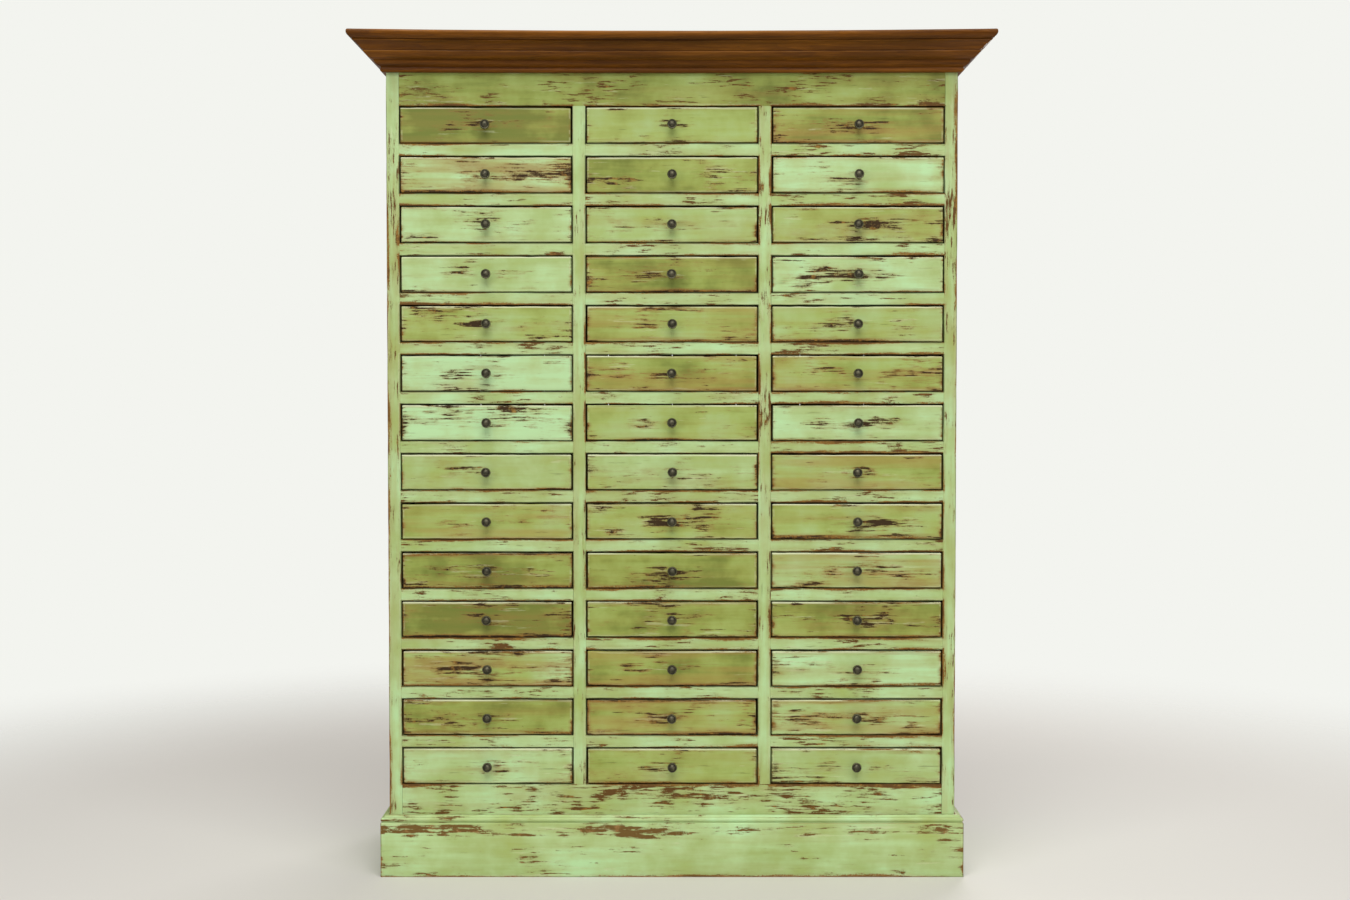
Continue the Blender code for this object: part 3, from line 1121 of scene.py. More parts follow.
class Layout:
    """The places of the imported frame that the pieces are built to."""

    lift = 0.0005  # how far a drawer's box runs over its dust board

    def __init__(self) -> None:
        """Reads the frame's nodes."""
        names = [name.split("_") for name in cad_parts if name.startswith("drawer_")]
        self.rows = sorted({int(row) for _, row, _ in names})
        self.bays = ("left", "centre", "right")
        stile_low, stile_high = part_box("stile_left")
        self.front = stile_low.y
        self.behind_frame = stile_high.y
        self.case_left = stile_low.x
        self.stile_width = stile_high.x - stile_low.x
        rack_low, rack_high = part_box("shelf_rack_centre")
        self.rack_back = rack_high.y
        self.rack_top = rack_high.z
        self.opening_width = rack_low.x - stile_high.x
        self.frieze_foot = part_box("frieze_rail")[0].z
        self.opening_height = self.frieze_foot - self.sill(1)
        self.row_pitch = self.sill(1) - self.sill(2)
        self.bay_pitch = self.opening_width + self.stile_width

    def sill(self, row: int) -> float:
        """The z of the bottom of a row's openings."""
        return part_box(f"drawer_{row:02d}_left")[0].z - self.lift

    def opening(self, row: int, bay: str) -> Opening:
        """One opening of the face frame.

        Args:
            row: its row, 1 at the top.
            bay: its column.

        Returns:
            The opening.
        """
        left = self.case_left + self.stile_width + self.bays.index(bay) * self.bay_pitch
        sill = self.sill(row)
        return Opening(row, bay, left, left + self.opening_width, sill, sill + self.opening_height)


@dataclass
class FaceFrame:
    """The painted boards of the front: stiles, muntins and rails."""

    layout: Layout
    finishes: Finishes
    rail_depth: float = 0.045
    easing: float = 0.0006

    def build(self) -> None:
        """Makes each board."""
        self._whole_nodes()
        self._muntins()
        for bay in self.layout.bays:
            for row in self.layout.rows[1:]:
                self._rail(row, bay)

    def _board(self, name: str, low: Vector, high: Vector, grain: Axis, look: Look, node: str) -> None:
        """One board of the frame, painted in front and bare behind.

        Args:
            name: the piece's name.
            low: its lowest corner.
            high: its highest corner.
            grain: the direction of its grain.
            look: its coat.
            node: the frame's node that it replaces.
        """
        shape = {"easing": self.easing, "butted": True, "waver": 0.0002, "nicks": 0.0005}
        stock = Stock(low, high, grain, look, seeded=False, **shape)
        materials = [self.finishes.frame_paint, self.finishes.wood]
        painted_board(name, CASE_BODY, stock, materials, BACKWARDS, node)

    def _whole_nodes(self) -> None:
        """The stiles, the frieze rail under the cornice and the rail over the plinth."""
        for name, node, grain, look in (
            ("stile_left_board", "stile_left", Axis.Z, Look(0.27, 0.3, 0.6)),
            ("stile_right_board", "stile_right", Axis.Z, Look(0.27, 0.3, 0.6)),
            # the frieze's darker, browner tone is painted shade under the cornice
            ("frieze_board", "frieze_rail", Axis.X, Look(0.78, 0.2, 1.3)),
            ("bottom_rail_board", "bottom_rail", Axis.X, Look(0.27, 0.2, 1.7)),
        ):
            self._board(name, *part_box(node), grain, look, node)

    def _muntins(self) -> None:
        """The two uprights between the columns of drawers."""
        layout = self.layout
        foot, head = layout.sill(layout.rows[-1]), layout.frieze_foot
        for bay in layout.bays[:-1]:
            left = layout.opening(1, bay).right
            low = Vector((left, layout.front, foot))
            high = Vector((left + layout.stile_width, layout.behind_frame, head))
            look = Look(0.28, 0.25, 0.5)
            side = "left" if bay == "left" else "right"
            self._board(f"muntin_{side}", low, high, Axis.Z, look, "shelf_rack_centre")

    def _rail(self, row: int, bay: str) -> None:
        """The rail over one opening, at the front of its dust board.

        Args:
            row: the row that it lies over.
            bay: its column.
        """
        layout = self.layout
        under = layout.opening(row, bay)
        above = layout.opening(row - 1, bay)
        low = Vector((under.left, layout.front, under.head))
        high = Vector((under.right, layout.front + self.rail_depth, above.sill))
        draw = random.Random(f"rail {row} {bay}")
        look = Look(0.27 + draw.uniform(-0.06, 0.06), 0.2, draw.uniform(0.35, 0.9))
        self._board(f"rail_{row - 1:02d}_{bay}", low, high, Axis.X, look, f"shelf_rack_{bay}")


@dataclass
class Case:
    """The boards behind the face frame: sides, shelves, bottom, back and top."""

    layout: Layout
    finishes: Finishes
    dust_board_thickness: float = 0.012
    rail_depth: float = 0.045
    guide_gap: float = 0.0011
    back_boards: int = 8
    back_gap: float = 0.0009
    nail_radius: float = 0.0028
    nail_rise: float = 0.0007

    def build(self) -> None:
        """Makes each board."""
        self._sides()
        for bay in self.layout.bays:
            self._dust_boards(bay)
        self._dividers()
        self._guides()
        self._bottom()
        self._back()
        self._top()

    def _sides(self) -> None:
        """The two painted side boards, bare inside."""
        materials = [self.finishes.case_paint, self.finishes.wood]
        look = Look(Tone.SAGE.value - 0.05, 0.3, 0.62)
        for side, inwards in (("left", 1), ("right", -1)):
            node = f"side_{side}"
            stock = Stock(*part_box(node), Axis.Z, look, 0.0008, nicks=0.0005)
            painted_board(f"{node}_board", CASE_BODY, stock, materials, Vector((inwards, 0, 0)), node)

    def _dust_boards(self, bay: str) -> None:
        """The boards that the drawers of one column run on, and the one over the top row.

        Args:
            bay: the column.
        """
        layout = self.layout
        boards = []
        for row in layout.rows:
            under = layout.opening(row, bay)
            foot, start = under.head, layout.behind_frame
            if row != layout.rows[0]:
                foot = layout.opening(row - 1, bay).sill - self.dust_board_thickness
                start = layout.front + self.rail_depth
            low = Vector((under.left, start, foot))
            high = Vector((under.right, layout.rack_back, foot + self.dust_board_thickness))
            boards.append(Stock(low, high, Axis.X, Look(0.5), 0.0008, spacing=0.08))
        bare_boards(f"dust_boards_{bay}", boards, self.finishes.wood, f"shelf_rack_{bay}")

    def _upright(self, name: str, left: float, right: float, foot: float, tone: float, node: str) -> None:
        """One full-depth board that stands between the columns or beside them.

        Args:
            name: the piece's name.
            left: where it starts.
            right: where it ends.
            foot: the height that it stands at.
            tone: its tone.
            node: the frame's node that it is part of.
        """
        low = Vector((left, self.layout.behind_frame, foot))
        high = Vector((right, self.layout.rack_back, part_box(node)[1].z))
        stock = Stock(low, high, Axis.Z, Look(tone), 0.0008, spacing=0.09)
        bare_boards(name, [stock], self.finishes.wood, node)

    def _dividers(self) -> None:
        """The uprights behind the muntins."""
        layout = self.layout
        for bay, side in (("left", "left"), ("centre", "right")):
            left = layout.opening(1, bay).right
            ends = (left, left + layout.stile_width, layout.sill(layout.rows[-1]))
            self._upright(f"divider_{side}", *ends, 0.4, "shelf_rack_centre")

    def _guides(self) -> None:
        """The boards that fill the step between each stile and its side."""
        for side, sign in (("left", -1), ("right", 1)):
            node = f"shelf_rack_{side}"
            low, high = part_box(node)
            opening = self.layout.opening(1, side)
            outer, inner = (low.x, opening.left) if side == "left" else (high.x, opening.right)
            ends = sorted((outer, inner - sign * self.guide_gap))
            self._upright(f"guide_{side}", *ends, low.z, 0.6, node)

    def _bottom(self) -> None:
        """The board under the lowest row."""
        stock = Stock(*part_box("bottom_board"), Axis.X, Look(0.5), 0.001)
        bare_boards("bottom_shelf", [stock], self.finishes.wood, "bottom_board")

    def _back(self) -> None:
        """The back's upright boards, and the nails that hold them."""
        low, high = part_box("back_panel")
        nails = Piece("back_nails")
        width = (high.x - low.x) / self.back_boards
        tall = high.z - low.z
        boards = []
        for step in range(self.back_boards):
            left = low.x + step * width
            board_low = Vector((left + self.back_gap / 2, low.y, low.z))
            board_high = Vector((left + width - self.back_gap / 2, high.y - self.nail_rise, high.z))
            look = Look(random.Random(f"back {step}").uniform(0.2, 1.0))
            boards.append(Stock(board_low, board_high, Axis.Z, look, 0.0016, nicks=0.0006, spacing=0.06))
            for height in (0.016, tall * 0.34, tall * 0.68, tall - 0.03):
                for inset in (0.022, width - 0.022):
                    place = Vector((left + inset, high.y - self.nail_rise / 2, low.z + height))
                    self._nail(nails, place)
        bare_boards("back_boards", boards, self.finishes.wood, "back_panel")
        nails.finish(CASE_BODY, BRONZE_SLOT, [self.finishes.bronze], (), 30.0)

    def _nail(self, piece: Piece, place: Vector) -> None:
        """One flat nail head on the back.

        Args:
            piece: the piece that holds the nails.
            place: the head's middle, on the board's face.
        """
        head = bmesh.new()
        turned = Matrix.Translation(place) @ Matrix.Rotation(math.radians(90), 4, "X")
        bmesh.ops.create_cone(
            head,
            cap_ends=True,
            segments=10,
            radius1=self.nail_radius,
            radius2=self.nail_radius * 0.7,
            depth=self.nail_rise,
            matrix=turned,
        )
        bmesh.ops.rotate(head, cent=place, matrix=Matrix.Rotation(math.pi, 3, "Z"), verts=head.verts)
        piece.add(head, round_marks(place, 3))

    def _top(self) -> None:
        """The stained top board, which dips along its front with the cornice."""
        low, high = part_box("top_board")
        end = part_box("cornice_front")[1].x
        piece = Piece("top_surface")
        stock = Stock(low, high, Axis.X, Look(0.5, 0.2, 0.4), 0.0008, spacing=0.04)
        piece.add_board(stock)
        for vert in piece.built.verts:
            if vert.co.z > (low.z + high.z) / 2:
                forward = (high.y - vert.co.y) / (high.y - low.y)
                vert.co.z -= CORNICE_SAG * forward * (1 - (vert.co.x / end) ** 2)
        piece.finish(CASE_BODY, STAIN_SLOT, [self.finishes.stain], ["top_board"])


def arc(
    centre: tuple[float, float], radius: float, start: float, end: float, steps: int
) -> Outline:
    """Points on an arc.

    Args:
        centre: the arc's centre.
        radius: its radius.
        start: the angle where it starts, in degrees.
        end: the angle where it ends.
        steps: how many chords it has.

    Returns:
        The points, both ends included.
    """
    angles = [math.radians(start + (end - start) * i / steps) for i in range(steps + 1)]
    return [(centre[0] + radius * math.cos(a), centre[1] + radius * math.sin(a)) for a in angles]


@dataclass
class Moulding:
    """A moulding run round the front and both sides, mitred at the front corners."""

    name: str
    node: str  # the start of the names of the frame's nodes that it replaces
    section: Outline  # x is the reach from the case, y the height over the base
    layout: Layout
    material: bpy.types.Material
    slot: str
    look: Look
    softening: float = 0.0007  # the rounding of its corners
    clearance: float = 0.0003
    spacing: float = 0.03
    nicks: float = 0.0005
    sag: float = 0.0  # how far the front length has bowed at its middle

    def build(self) -> None:
        """Makes the three lengths."""
        front_low, front_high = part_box(f"{self.node}_front")
        side_low, side_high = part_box(f"{self.node}_left")
        corner = Vector((self.layout.case_left, self.layout.front, 0.0))
        half = (front_high.x - front_low.x) / 2
        self.base = front_low.z
        for side, sign in (("left", -1), ("right", 1)):
            run = (side_low.y - 0.02, side_high.y)
            shape = self._extruded(Axis.Y, run, sign * abs(corner.x), sign)
            inwards = Vector((-sign, -1, 0)).normalized()
            place = Vector((sign * abs(corner.x), corner.y, 0)) - inwards * self.clearance / 2
            self._cut(shape, place, inwards)
            self._finish(shape, side, Axis.Y)
        shape = self._extruded(Axis.X, (-half - 0.02, half + 0.02), corner.y, -1)
        for sign in (-1, 1):
            outwards = Vector((sign, 1, 0)).normalized()
            place = Vector((sign * abs(corner.x), corner.y, 0)) - outwards * self.clearance / 2
            self._cut(shape, place, outwards)
        self._finish(shape, "front", Axis.X)

    def _extruded(
        self, run_axis: Axis, run: tuple[float, float], face: float, sign: int
    ) -> bmesh.types.BMesh:
        """The section drawn out along one wall of the case.

        Args:
            run_axis: the direction of the run.
            run: where it starts and ends.
            face: the wall's place on the other axis.
            sign: the way in which the moulding reaches out from it.

        Returns:
            The shape.
        """
        shape = bmesh.new()
        relief = shape.verts.layers.float_vector.new(Mark.RELIEF.value)
        verts = []
        for (reach, height), crest in soften(self.section, self.softening):
            out = face + sign * reach
            co = (run[0], out) if run_axis is Axis.X else (out, run[0])
            vert = shape.verts.new((*co, self.base + height))
            vert[relief] = Vector((crest, 0, 0))
            verts.append(vert)
        face_made = shape.faces.new(verts)
        drawn = bmesh.ops.extrude_face_region(shape, geom=[face_made], use_keep_orig=True)
        moved = [item for item in drawn["geom"] if isinstance(item, bmesh.types.BMVert)]
        bmesh.ops.translate(shape, vec=run_axis.vector * (run[1] - run[0]), verts=moved)
        bmesh.ops.recalc_face_normals(shape, faces=shape.faces)
        return shape

    def _cut(self, shape: bmesh.types.BMesh, place: Vector, away: Vector) -> None:
        """Cuts off what lies past a plane, and closes the cut.

        Args:
            shape: the shape.
            place: a point of the plane.
            away: the direction of what is cut off.
        """
        cut = bmesh.ops.bisect_plane(
            shape,
            geom=shape.verts[:] + shape.edges[:] + shape.faces[:],
            plane_co=place,
            plane_no=away,
            clear_outer=True,
        )
        rim = [item for item in cut["geom_cut"] if isinstance(item, bmesh.types.BMEdge)]
        bmesh.ops.contextual_create(shape, geom=rim)
        bmesh.ops.recalc_face_normals(shape, faces=shape.faces)

    def _finish(self, shape: bmesh.types.BMesh, side: str, grain: Axis) -> None:
        """Weathers one length and makes it a piece.

        Args:
            shape: the length.
            side: front, left or right.
            grain: the direction of its grain.
        """
        cut_across(shape, grain, self.spacing)
        relief = shape.verts.layers.float_vector[Mark.RELIEF.value]
        box_low, box_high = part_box(f"{self.node}_{side}")
        for vert in shape.verts:
            dent = noise.noise(vert.co * 42) - 0.15
            if vert[relief].x > 0.5 and dent > 0:
                vert.co.z -= min(dent * 3, 1.0) * self.nicks
            vert.co += noise.noise_vector(vert.co * 6) * 0.0002
            vert.co = Vector(map(max, map(min, vert.co, box_high), box_low))
            if grain is Axis.X and self.sag:
                height = (vert.co.z - box_low.z) / (box_high.z - box_low.z)
                span = 1 - (vert.co.x / box_high.x) ** 2
                vert.co.z -= self.sag * (0.35 + 0.65 * height) * span
        piece = Piece(f"{self.name}_{side}")
        middle = (box_low + box_high) / 2
        piece.add(shape, marks_of(middle, (box_high - box_low) / 2, grain, middle * 11, self.look))
        piece.finish(CASE_BODY, self.slot, [self.material], [f"{self.node}_{side}"], 32.0)


def soften(section: Outline, radius: float) -> list[tuple[tuple[float, float], float]]:
    """Rounds the sharp corners of an outline.

    Args:
        section: the outline, corner by corner.
        radius: how far from a corner its rounding starts.

    Returns:
        Each point with its relief: 1 on a rounded crest, -1 in a rounded hollow, 0 elsewhere.
    """
    points = [Vector(point) for point in section]
    area = sum(
        first.x * second.y - second.x * first.y
        for first, second in zip(points, points[1:] + points[:1])
    )
    turned = 1 if area > 0 else -1
    softened = []
    for place, point in enumerate(points):
        before = points[place - 1] - point
        after = points[(place + 1) % len(points)] - point
        bend = math.degrees(math.pi - before.angle(after))
        if bend < 25:
            softened.append((tuple(point), 0.0))
            continue
        cross = -before.x * after.y + before.y * after.x
        crest = 1.0 if cross * turned > 0 else -1.0
        reach = min(radius, before.length * 0.4, after.length * 0.4)
        start = point + before.normalized() * reach
        end = point + after.normalized() * reach
        middle = (start + end) * 0.25 + point * 0.5
        softened += [(tuple(start), 0.2 * crest), (tuple(middle), crest), (tuple(end), 0.2 * crest)]
    return softened


def bow(
    start: tuple[float, float], end: tuple[float, float], rise: float, steps: int
) -> Outline:
    """Points on a curve that stands to the right of its chord.

    Args:
        start: where it starts.
        end: where it ends.
        rise: how far it stands off the chord, less than 0 for the left.
        steps: how many pieces it has.

    Returns:
        The points, both ends included.
    """
    first, last = Vector(start), Vector(end)
    chord = (last - first).normalized()
    right = Vector((chord.y, -chord.x))
    places = [step / steps for step in range(steps + 1)]
    return [tuple(first.lerp(last, t) + right * (4 * rise * t * (1 - t))) for t in places]


def cornice_section(reach: float, height: float) -> Outline:
    """The crown moulding: bead, two swellings, hollow and nosing, with a quirk between each.

    Args:
        reach: how far it stands out from the case.
        height: its height.

    Returns:
        The outline.
    """
    gap = 0.0003
    section = [(gap, height), (gap, 0.0), (0.005, 0.0)]
    section += arc((0.005, 0.0042), 0.0042, -90, 40, 7)[1:]
    section += [(0.0076, 0.0088), (0.0094, 0.0100)]
    section += bow((0.0100, 0.0104), (0.0190, 0.0190), 0.0014, 6)
    section += [(0.0192, 0.0208)]
    section += bow((0.0205, 0.0212), (0.0358, 0.0340), 0.0022, 9)
    section += [(0.0350, 0.0358), (0.0374, 0.0370)]
    section += bow((0.0380, 0.0374), (0.0532, 0.0508), -0.0012, 9)
    section += [(0.0518, 0.0520), (0.0520, 0.0537), (0.0556, 0.0541)]
    section += bow((0.0560, 0.0548), (reach, height - 0.0065), 0.0010, 5)
    section += [(reach, height - 0.0025), (reach - 0.0020, height)]
    return section


def plinth_section(reach: float, height: float) -> Outline:
    """The skirting: a flat board with a quirk and a bead along its top.

    Args:
        reach: how far it stands out from the case.
        height: its height.

    Returns:
        The outline.
    """
    gap = 0.0003
    section = [(gap, height), (gap, 0.0), (reach, 0.0), (reach, height - 0.0134)]
    section += [(reach - 0.0026, height - 0.0126), (reach - 0.0024, height - 0.0108)]
    section += arc((reach - 0.0045, height - 0.0075), 0.0042, -50, 100, 8)
    section += [(reach - 0.0062, height - 0.0026), (reach - 0.0085, height)]
    return section


@dataclass
class Drawer:
    """One drawer: a painted front, a bare box and a bronze knob."""

    opening: Opening
    layout: Layout
    finishes: Finishes
    look: Look
    front_thickness: float = 0.018
    foot_gap: float = 0.0015
    proud: float = 0.001
    box_width: float = 0.310
    box_height: float = 0.060
    box_end: float = 0.380
    wall: float = 0.010
    floor_rise: float = 0.002
    floor_thickness: float = 0.0042
    floor_inlay: float = 0.004  # how far the bottom is let into the walls
    play: tuple = ((-0.0008, 0.0008), (-0.0012, 0.0012), (-0.0002, 0.0005))  # in x, y and z
    tilt: float = 0.12  # how far its front may tilt, in degrees
    swing: float = 0.25  # how far it may swing, in degrees
    knob_sides: int = 24
    screw_sides: int = 12

    @property
    def name(self) -> str:
        """The drawer's name, which is its body's too."""
        return f"drawer_{self.opening.row:02d}_{self.opening.bay}"

    def build(self) -> None:
        """Makes the front, the box and the knob."""
        fit = self._fit()
        self._front(fit)
        self._box()
        self._knob(fit)

    def _fit(self) -> Matrix:
        """How the front sits in its opening, never quite true.

        Returns:
            The move from the true place.
        """
        draw = random.Random(self.name)
        level = (self.opening.sill + self.opening.head) / 2
        middle = Vector((self.opening.centre, self.layout.front, level))
        shift = Vector([draw.uniform(*play) for play in self.play])
        tilt = Matrix.Rotation(math.radians(draw.uniform(-self.tilt, self.tilt)), 4, "Y")
        swing = Matrix.Rotation(math.radians(draw.uniform(-self.swing, self.swing)), 4, "Z")
        return Matrix.Translation(middle + shift) @ tilt @ swing @ Matrix.Translation(-middle)

    def _front(self, fit: Matrix) -> None:
        """The painted board, bare behind.

        Args:
            fit: how it sits in its opening.
        """
        box_low, box_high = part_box(self.name)
        face = self.layout.front - self.proud
        low = Vector((box_low.x, face, self.opening.sill + self.foot_gap))
        high = Vector((box_high.x, face + self.front_thickness, box_high.z))
        shape = {"segments": 3, "spacing": 0.016, "waver": 0.00025, "nicks": 0.0007}
        stock = Stock(low, high, Axis.X, self.look, 0.0018, **shape)
        materials = [self.finishes.drawer_paint, self.finishes.wood]
        name = f"{self.name}_front"
        painted_board(name, self.name, stock, materials, BACKWARDS, self.name, fit)

    def _box(self) -> None:
        """The bare sides, back and bottom."""
        centre, wall, half = self.opening.centre, self.wall, self.box_width / 2
        left, right = centre - half, centre + half
        start = self.layout.front - self.proud + self.front_thickness
        end = self.layout.front + self.box_end
        foot = self.opening.sill + self.layout.lift
        top = foot + self.box_height
        floor = foot + self.floor_rise
        laid = floor + self.floor_thickness
        inset = wall - self.floor_inlay
        look = Look(random.Random(self.name + " box").uniform(0.0, 1.0))
        boards = (
            ((left, start, foot), (left + wall, end, top), Axis.Y),
            ((right - wall, start, foot), (right, end, top), Axis.Y),
            ((left + wall, end - wall, laid), (right - wall, end, top - 0.004), Axis.X),
            ((left + inset, start, floor), (right - inset, end - 0.001, laid), Axis.X),
        )
        shape = {"easing": 0.0009, "spacing": 0.12, "waver": 0.0001}
        stocks = [Stock(Vector(low), Vector(high), grain, look, **shape) for low, high, grain in boards]
        bare_boards(f"{self.name}_box", stocks, self.finishes.wood, self.name, self.name)

    def _knob(self, fit: Matrix) -> None:
        """The turned knob, and the screw that holds it from inside.

        Args:
            fit: how the front sits in its opening.
        """
        low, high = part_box(self.name)
        face = self.layout.front - self.proud
        reach = face - low.y
        height = (self.opening.sill + self.foot_gap + high.z) / 2
        piece = Piece(f"{self.name}_knob")
        place = fit @ Vector((self.opening.centre, face, height))
        inside = place + Vector((0, self.front_thickness, 0))
        for profile, root, sign, sides in (
            (knob_profile(reach), place, -1, self.knob_sides),
            (SCREW_PROFILE, inside, 1, self.screw_sides),
        ):
            turned = spun(profile, sides)
            facing = Matrix.Rotation(math.radians(90 * -sign), 4, "X")
            bmesh.ops.transform(turned, matrix=Matrix.Translation(root) @ facing, verts=turned.verts)
            piece.add(turned, round_marks(root, 13))
        piece.finish(self.name, BRONZE_SLOT, [self.finishes.bronze], [self.name], 40.0)


def knob_profile(reach: float) -> Profile:
    """The knob's outline: a foot, a waist, and a dished head with a rim.

    Args:
        reach: how far it stands out.

    Returns:
        Radius, height and relief at each point, from its foot to its crown.
    """
    return [
        (0.0, -0.0002, 0.0),
        (0.0062, -0.0002, 0.0),
        (0.0064, 0.0009, 0.3),
        (0.0056, 0.0018, 0.0),
        (0.0040, 0.0034, -0.8),
        (0.0036, reach * 0.36, -0.6),
        (0.0046, reach * 0.48, -0.4),
        (0.0076, reach * 0.58, 0.0),
        (0.0087, reach * 0.65, 0.4),
        (0.0090, reach * 0.73, 1.0),
        (0.0086, reach * 0.82, 1.0),
        (0.0077, reach * 0.87, 0.7),
        (0.0068, reach * 0.86, -0.4),
        (0.0060, reach * 0.855, -0.6),
        (0.0050, reach * 0.90, 0.1),
        (0.0036, reach * 0.955, 0.1),
        (0.0018, reach * 0.985, 0.2),
        (0.0, reach, 0.25),
    ]


# The outline of the screw's pan head, as knob_profile gives the knob's.
SCREW_PROFILE = (
    (0.0, -0.0002, 0.0),
    (0.0038, -0.0002, 0.0),
    (0.0040, 0.0008, 0.4),
    (0.0032, 0.0018, 0.6),
    (0.0, 0.0023, 0.3),
)


def spun(profile: Iterable[tuple[float, float, float]], steps: int) -> bmesh.types.BMesh:
    """A profile turned round the z axis.

    Args:
        profile: radius, height and relief at each point, on the axis at both ends.
        steps: how many sides it has.

    Returns:
        The closed shape.
    """
    shape = bmesh.new()
    relief = shape.verts.layers.float_vector.new(Mark.RELIEF.value)
    verts = []
    for radius, height, crest in profile:
        vert = shape.verts.new((radius, 0.0, height))
        vert[relief] = Vector((crest, 0, 0))
        verts.append(vert)
    edges = [shape.edges.new(pair) for pair in zip(verts, verts[1:])]
    bmesh.ops.spin(
        shape,
        geom=verts + edges,
        cent=(0, 0, 0),
        axis=(0, 0, 1),
        angle=math.tau,
        steps=steps,
        use_merge=True,
    )
    bmesh.ops.remove_doubles(shape, verts=shape.verts, dist=1e-6)
    bmesh.ops.recalc_face_normals(shape, faces=shape.faces)
    return shape


# Each row's paint from left to right, and the drawers whose coat is browner or more worn.
ROW_TONES = (
    # the top row's darker tones are partly painted shade under the cornice
    (Tone.DARK, Tone.LEAF, Tone.OLIVE),
    (Tone.PALE, Tone.OLIVE, Tone.PALE),
    (Tone.PALE, Tone.SAGE, Tone.LEAF),
    (Tone.PALE, Tone.OLIVE, Tone.PALE),
    (Tone.LEAF, Tone.LEAF, Tone.SAGE),
    (Tone.MINT, Tone.OLIVE, Tone.LEAF),
    (Tone.MINT, Tone.LEAF, Tone.PALE),
    (Tone.SAGE, Tone.SAGE, Tone.LEAF),
    (Tone.LEAF, Tone.LEAF, Tone.LEAF),
    (Tone.OLIVE, Tone.OLIVE, Tone.SAGE),
    (Tone.DARK, Tone.OLIVE, Tone.OLIVE),
    (Tone.SAGE, Tone.OLIVE, Tone.PALE),
    (Tone.OLIVE, Tone.LEAF, Tone.SAGE),
    (Tone.PALE, Tone.LEAF, Tone.SAGE),
)
BROWNED = {
    (1, "right"), (2, "left"), (5, "centre"), (6, "centre"), (6, "right"), (8, "right"),
    (9, "left"), (10, "right"), (12, "left"), (12, "centre"), (13, "centre"), (13, "right"),
}
WORN = {
    (2, "left"), (3, "right"), (5, "left"), (7, "left"), (9, "centre"), (10, "left"),
    (11, "left"), (11, "right"), (12, "left"), (13, "left"), (13, "centre"), (13, "right"),
}


def drawer_look(row: int, bay: str, place: int) -> Look:
    """The coat of one drawer.

    Args:
        row: its row, 1 at the top.
        bay: its column.
        place: the column's place from the left.

    Returns:
        Its tone, haze and wear.
    """
    draw = random.Random(f"look {row} {bay}")
    haze = 0.75 if (row, bay) in BROWNED else draw.uniform(0.05, 0.3)
    wear = 0.95 if (row, bay) in WORN else draw.uniform(0.3, 0.6)
    return Look(ROW_TONES[row - 1][place].value, haze, wear)


# ---------------------------------------------------------------------------------------------
# The studio
# ---------------------------------------------------------------------------------------------


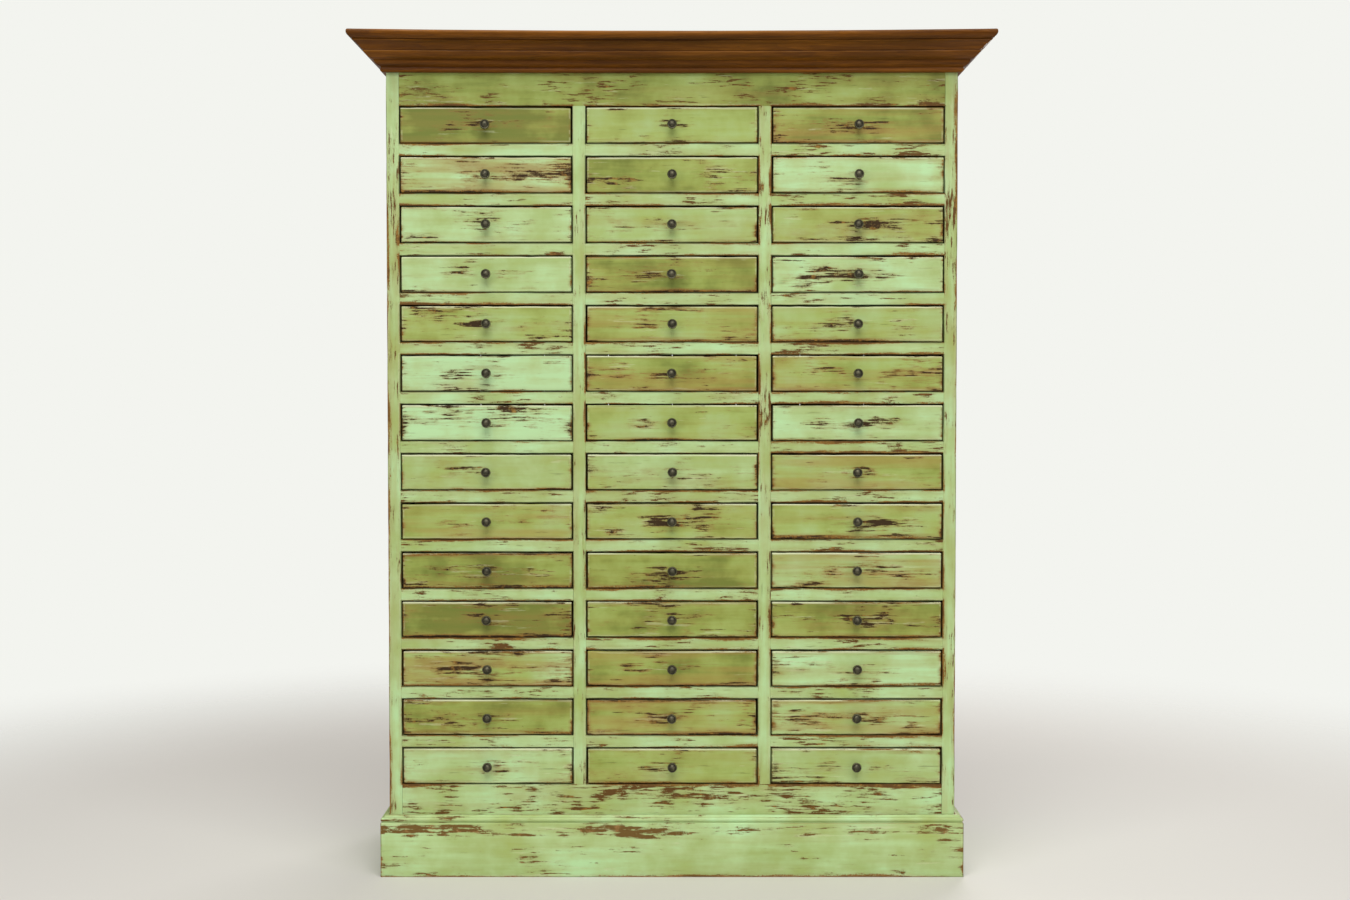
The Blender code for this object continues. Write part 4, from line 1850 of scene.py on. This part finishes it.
@dataclass
class Studio:
    """The floor, the lights and the camera."""

    layout: Layout
    distance: float = 3.4345  # from the camera to the face frame
    eye_height: float = 0.9065
    pitch: float = 2.016  # how far the camera looks down, in degrees
    focal_length: float = 50.0
    sensor: float = 36.0
    floor_radius: float = 2.8
    fade_start: float = 1.3  # where the floor starts to melt into the surroundings

    def build(self) -> None:
        """Makes everything that isn't the cabinet."""
        self._floor()
        self._world()
        self._lamp("key_left", Vector((-2.9, -3.4, 1.9)), 1.0, 24.0)
        self._lamp("key_right", Vector((2.9, -3.4, 1.9)), 1.0, 24.0)
        self._lamp("overhead", Vector((0.0, -3.4, 5.4)), 4.2, 290.0)
        self._lamp("rear_fill", Vector((1.2, 4.2, 3.0)), 2.6, 110.0)
        self._camera()
        view = bpy.context.scene.view_settings
        view.view_transform = "Standard"
        view.look = "None"

    def _floor(self) -> None:
        """The plain pale floor."""
        drawn = bmesh.new()
        bmesh.ops.create_circle(drawn, cap_ends=True, radius=self.floor_radius, segments=96)
        mesh = bpy.data.meshes.new("floor")
        drawn.to_mesh(mesh)
        drawn.free()
        material, g, shader = new_material("floor")
        away = g.vector("LENGTH", g.add("TexCoord").outputs["Object"])
        fade = g.step(away, self.fade_start, self.floor_radius * 0.97, 1.0, 0.0)
        g.feed(shader.inputs["Alpha"], fade)
        shader.inputs["Base Color"].default_value = (*srgb(214, 210, 203), 1.0)
        shader.inputs["Roughness"].default_value = 0.75
        mesh.materials.append(material)
        floor = bpy.data.objects.new("floor", mesh)
        bpy.context.scene.collection.objects.link(floor)

    def _world(self) -> None:
        """The pale surroundings, which also fill the shadows."""
        world = bpy.data.worlds.new("studio")
        bpy.context.scene.world = world
        world.use_nodes = True
        graph = Graph(world.node_tree)
        background = world.node_tree.nodes["Background"]
        seen = graph.add("LightPath").outputs["Is Camera Ray"]
        graph.feed(background.inputs["Color"], graph.mix(seen, (1.0, 1.0, 0.99), srgb(243, 244, 239)))
        graph.feed(background.inputs["Strength"], graph.step(seen, 0.0, 1.0, 0.27, 1.0))

    def _lamp(self, name: str, place: Vector, size: float, power: float) -> None:
        """A square soft light that faces the cabinet.

        Args:
            name: the light's name.
            place: where it hangs.
            size: its side, in metres.
            power: its power, in watts.
        """
        light = bpy.data.lights.new(name, "AREA")
        light.shape = "SQUARE"
        light.size = size
        light.energy = power
        lamp = bpy.data.objects.new(name, light)
        bpy.context.scene.collection.objects.link(lamp)
        target = Vector((0.0, self.layout.front, 0.75))
        aim = (target - place).to_track_quat("-Z", "Y").to_matrix().to_4x4()
        lamp.matrix_world = Matrix.Translation(place) @ aim

    def _camera(self) -> None:
        """The camera in front of the cabinet."""
        camera = bpy.data.cameras.new("camera")
        camera.lens = self.focal_length
        camera.sensor_width = self.sensor
        made = bpy.data.objects.new("camera", camera)
        made.location = (0.0055, self.layout.front - self.distance, self.eye_height)
        made.rotation_euler = (math.radians(90 - self.pitch), 0.0, 0.0)
        bpy.context.scene.collection.objects.link(made)
        bpy.context.scene.camera = made


def main() -> None:
    """Builds the cabinet and the studio."""
    logging.basicConfig(level=logging.INFO, format="%(message)s")
    noise.seed_set(NOISE_SEED)
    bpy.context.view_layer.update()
    layout = Layout()
    finishes = Finishes(layout)
    Case(layout, finishes).build()
    FaceFrame(layout, finishes).build()
    for node, section_of, material, slot, look, sag in (
        ("cornice", cornice_section, finishes.stain, STAIN_SLOT, Look(0.5, 0.2, 0.8), CORNICE_SAG),
        ("plinth", plinth_section, finishes.plinth_paint, PAINT_SLOT, Look(0.24, 0.1, 0.8), 0.0),
    ):
        low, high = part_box(f"{node}_front")
        section = section_of(layout.front - low.y, high.z - low.z)
        name = f"{node}_moulding"
        Moulding(name, node, section, layout, material, slot, look, sag=sag).build()
    for row in layout.rows:
        for place, bay in enumerate(layout.bays):
            look = drawer_look(row, bay, place)
            Drawer(layout.opening(row, bay), layout, finishes, look).build()
    Studio(layout).build()


if __name__ == "__main__":
    main()
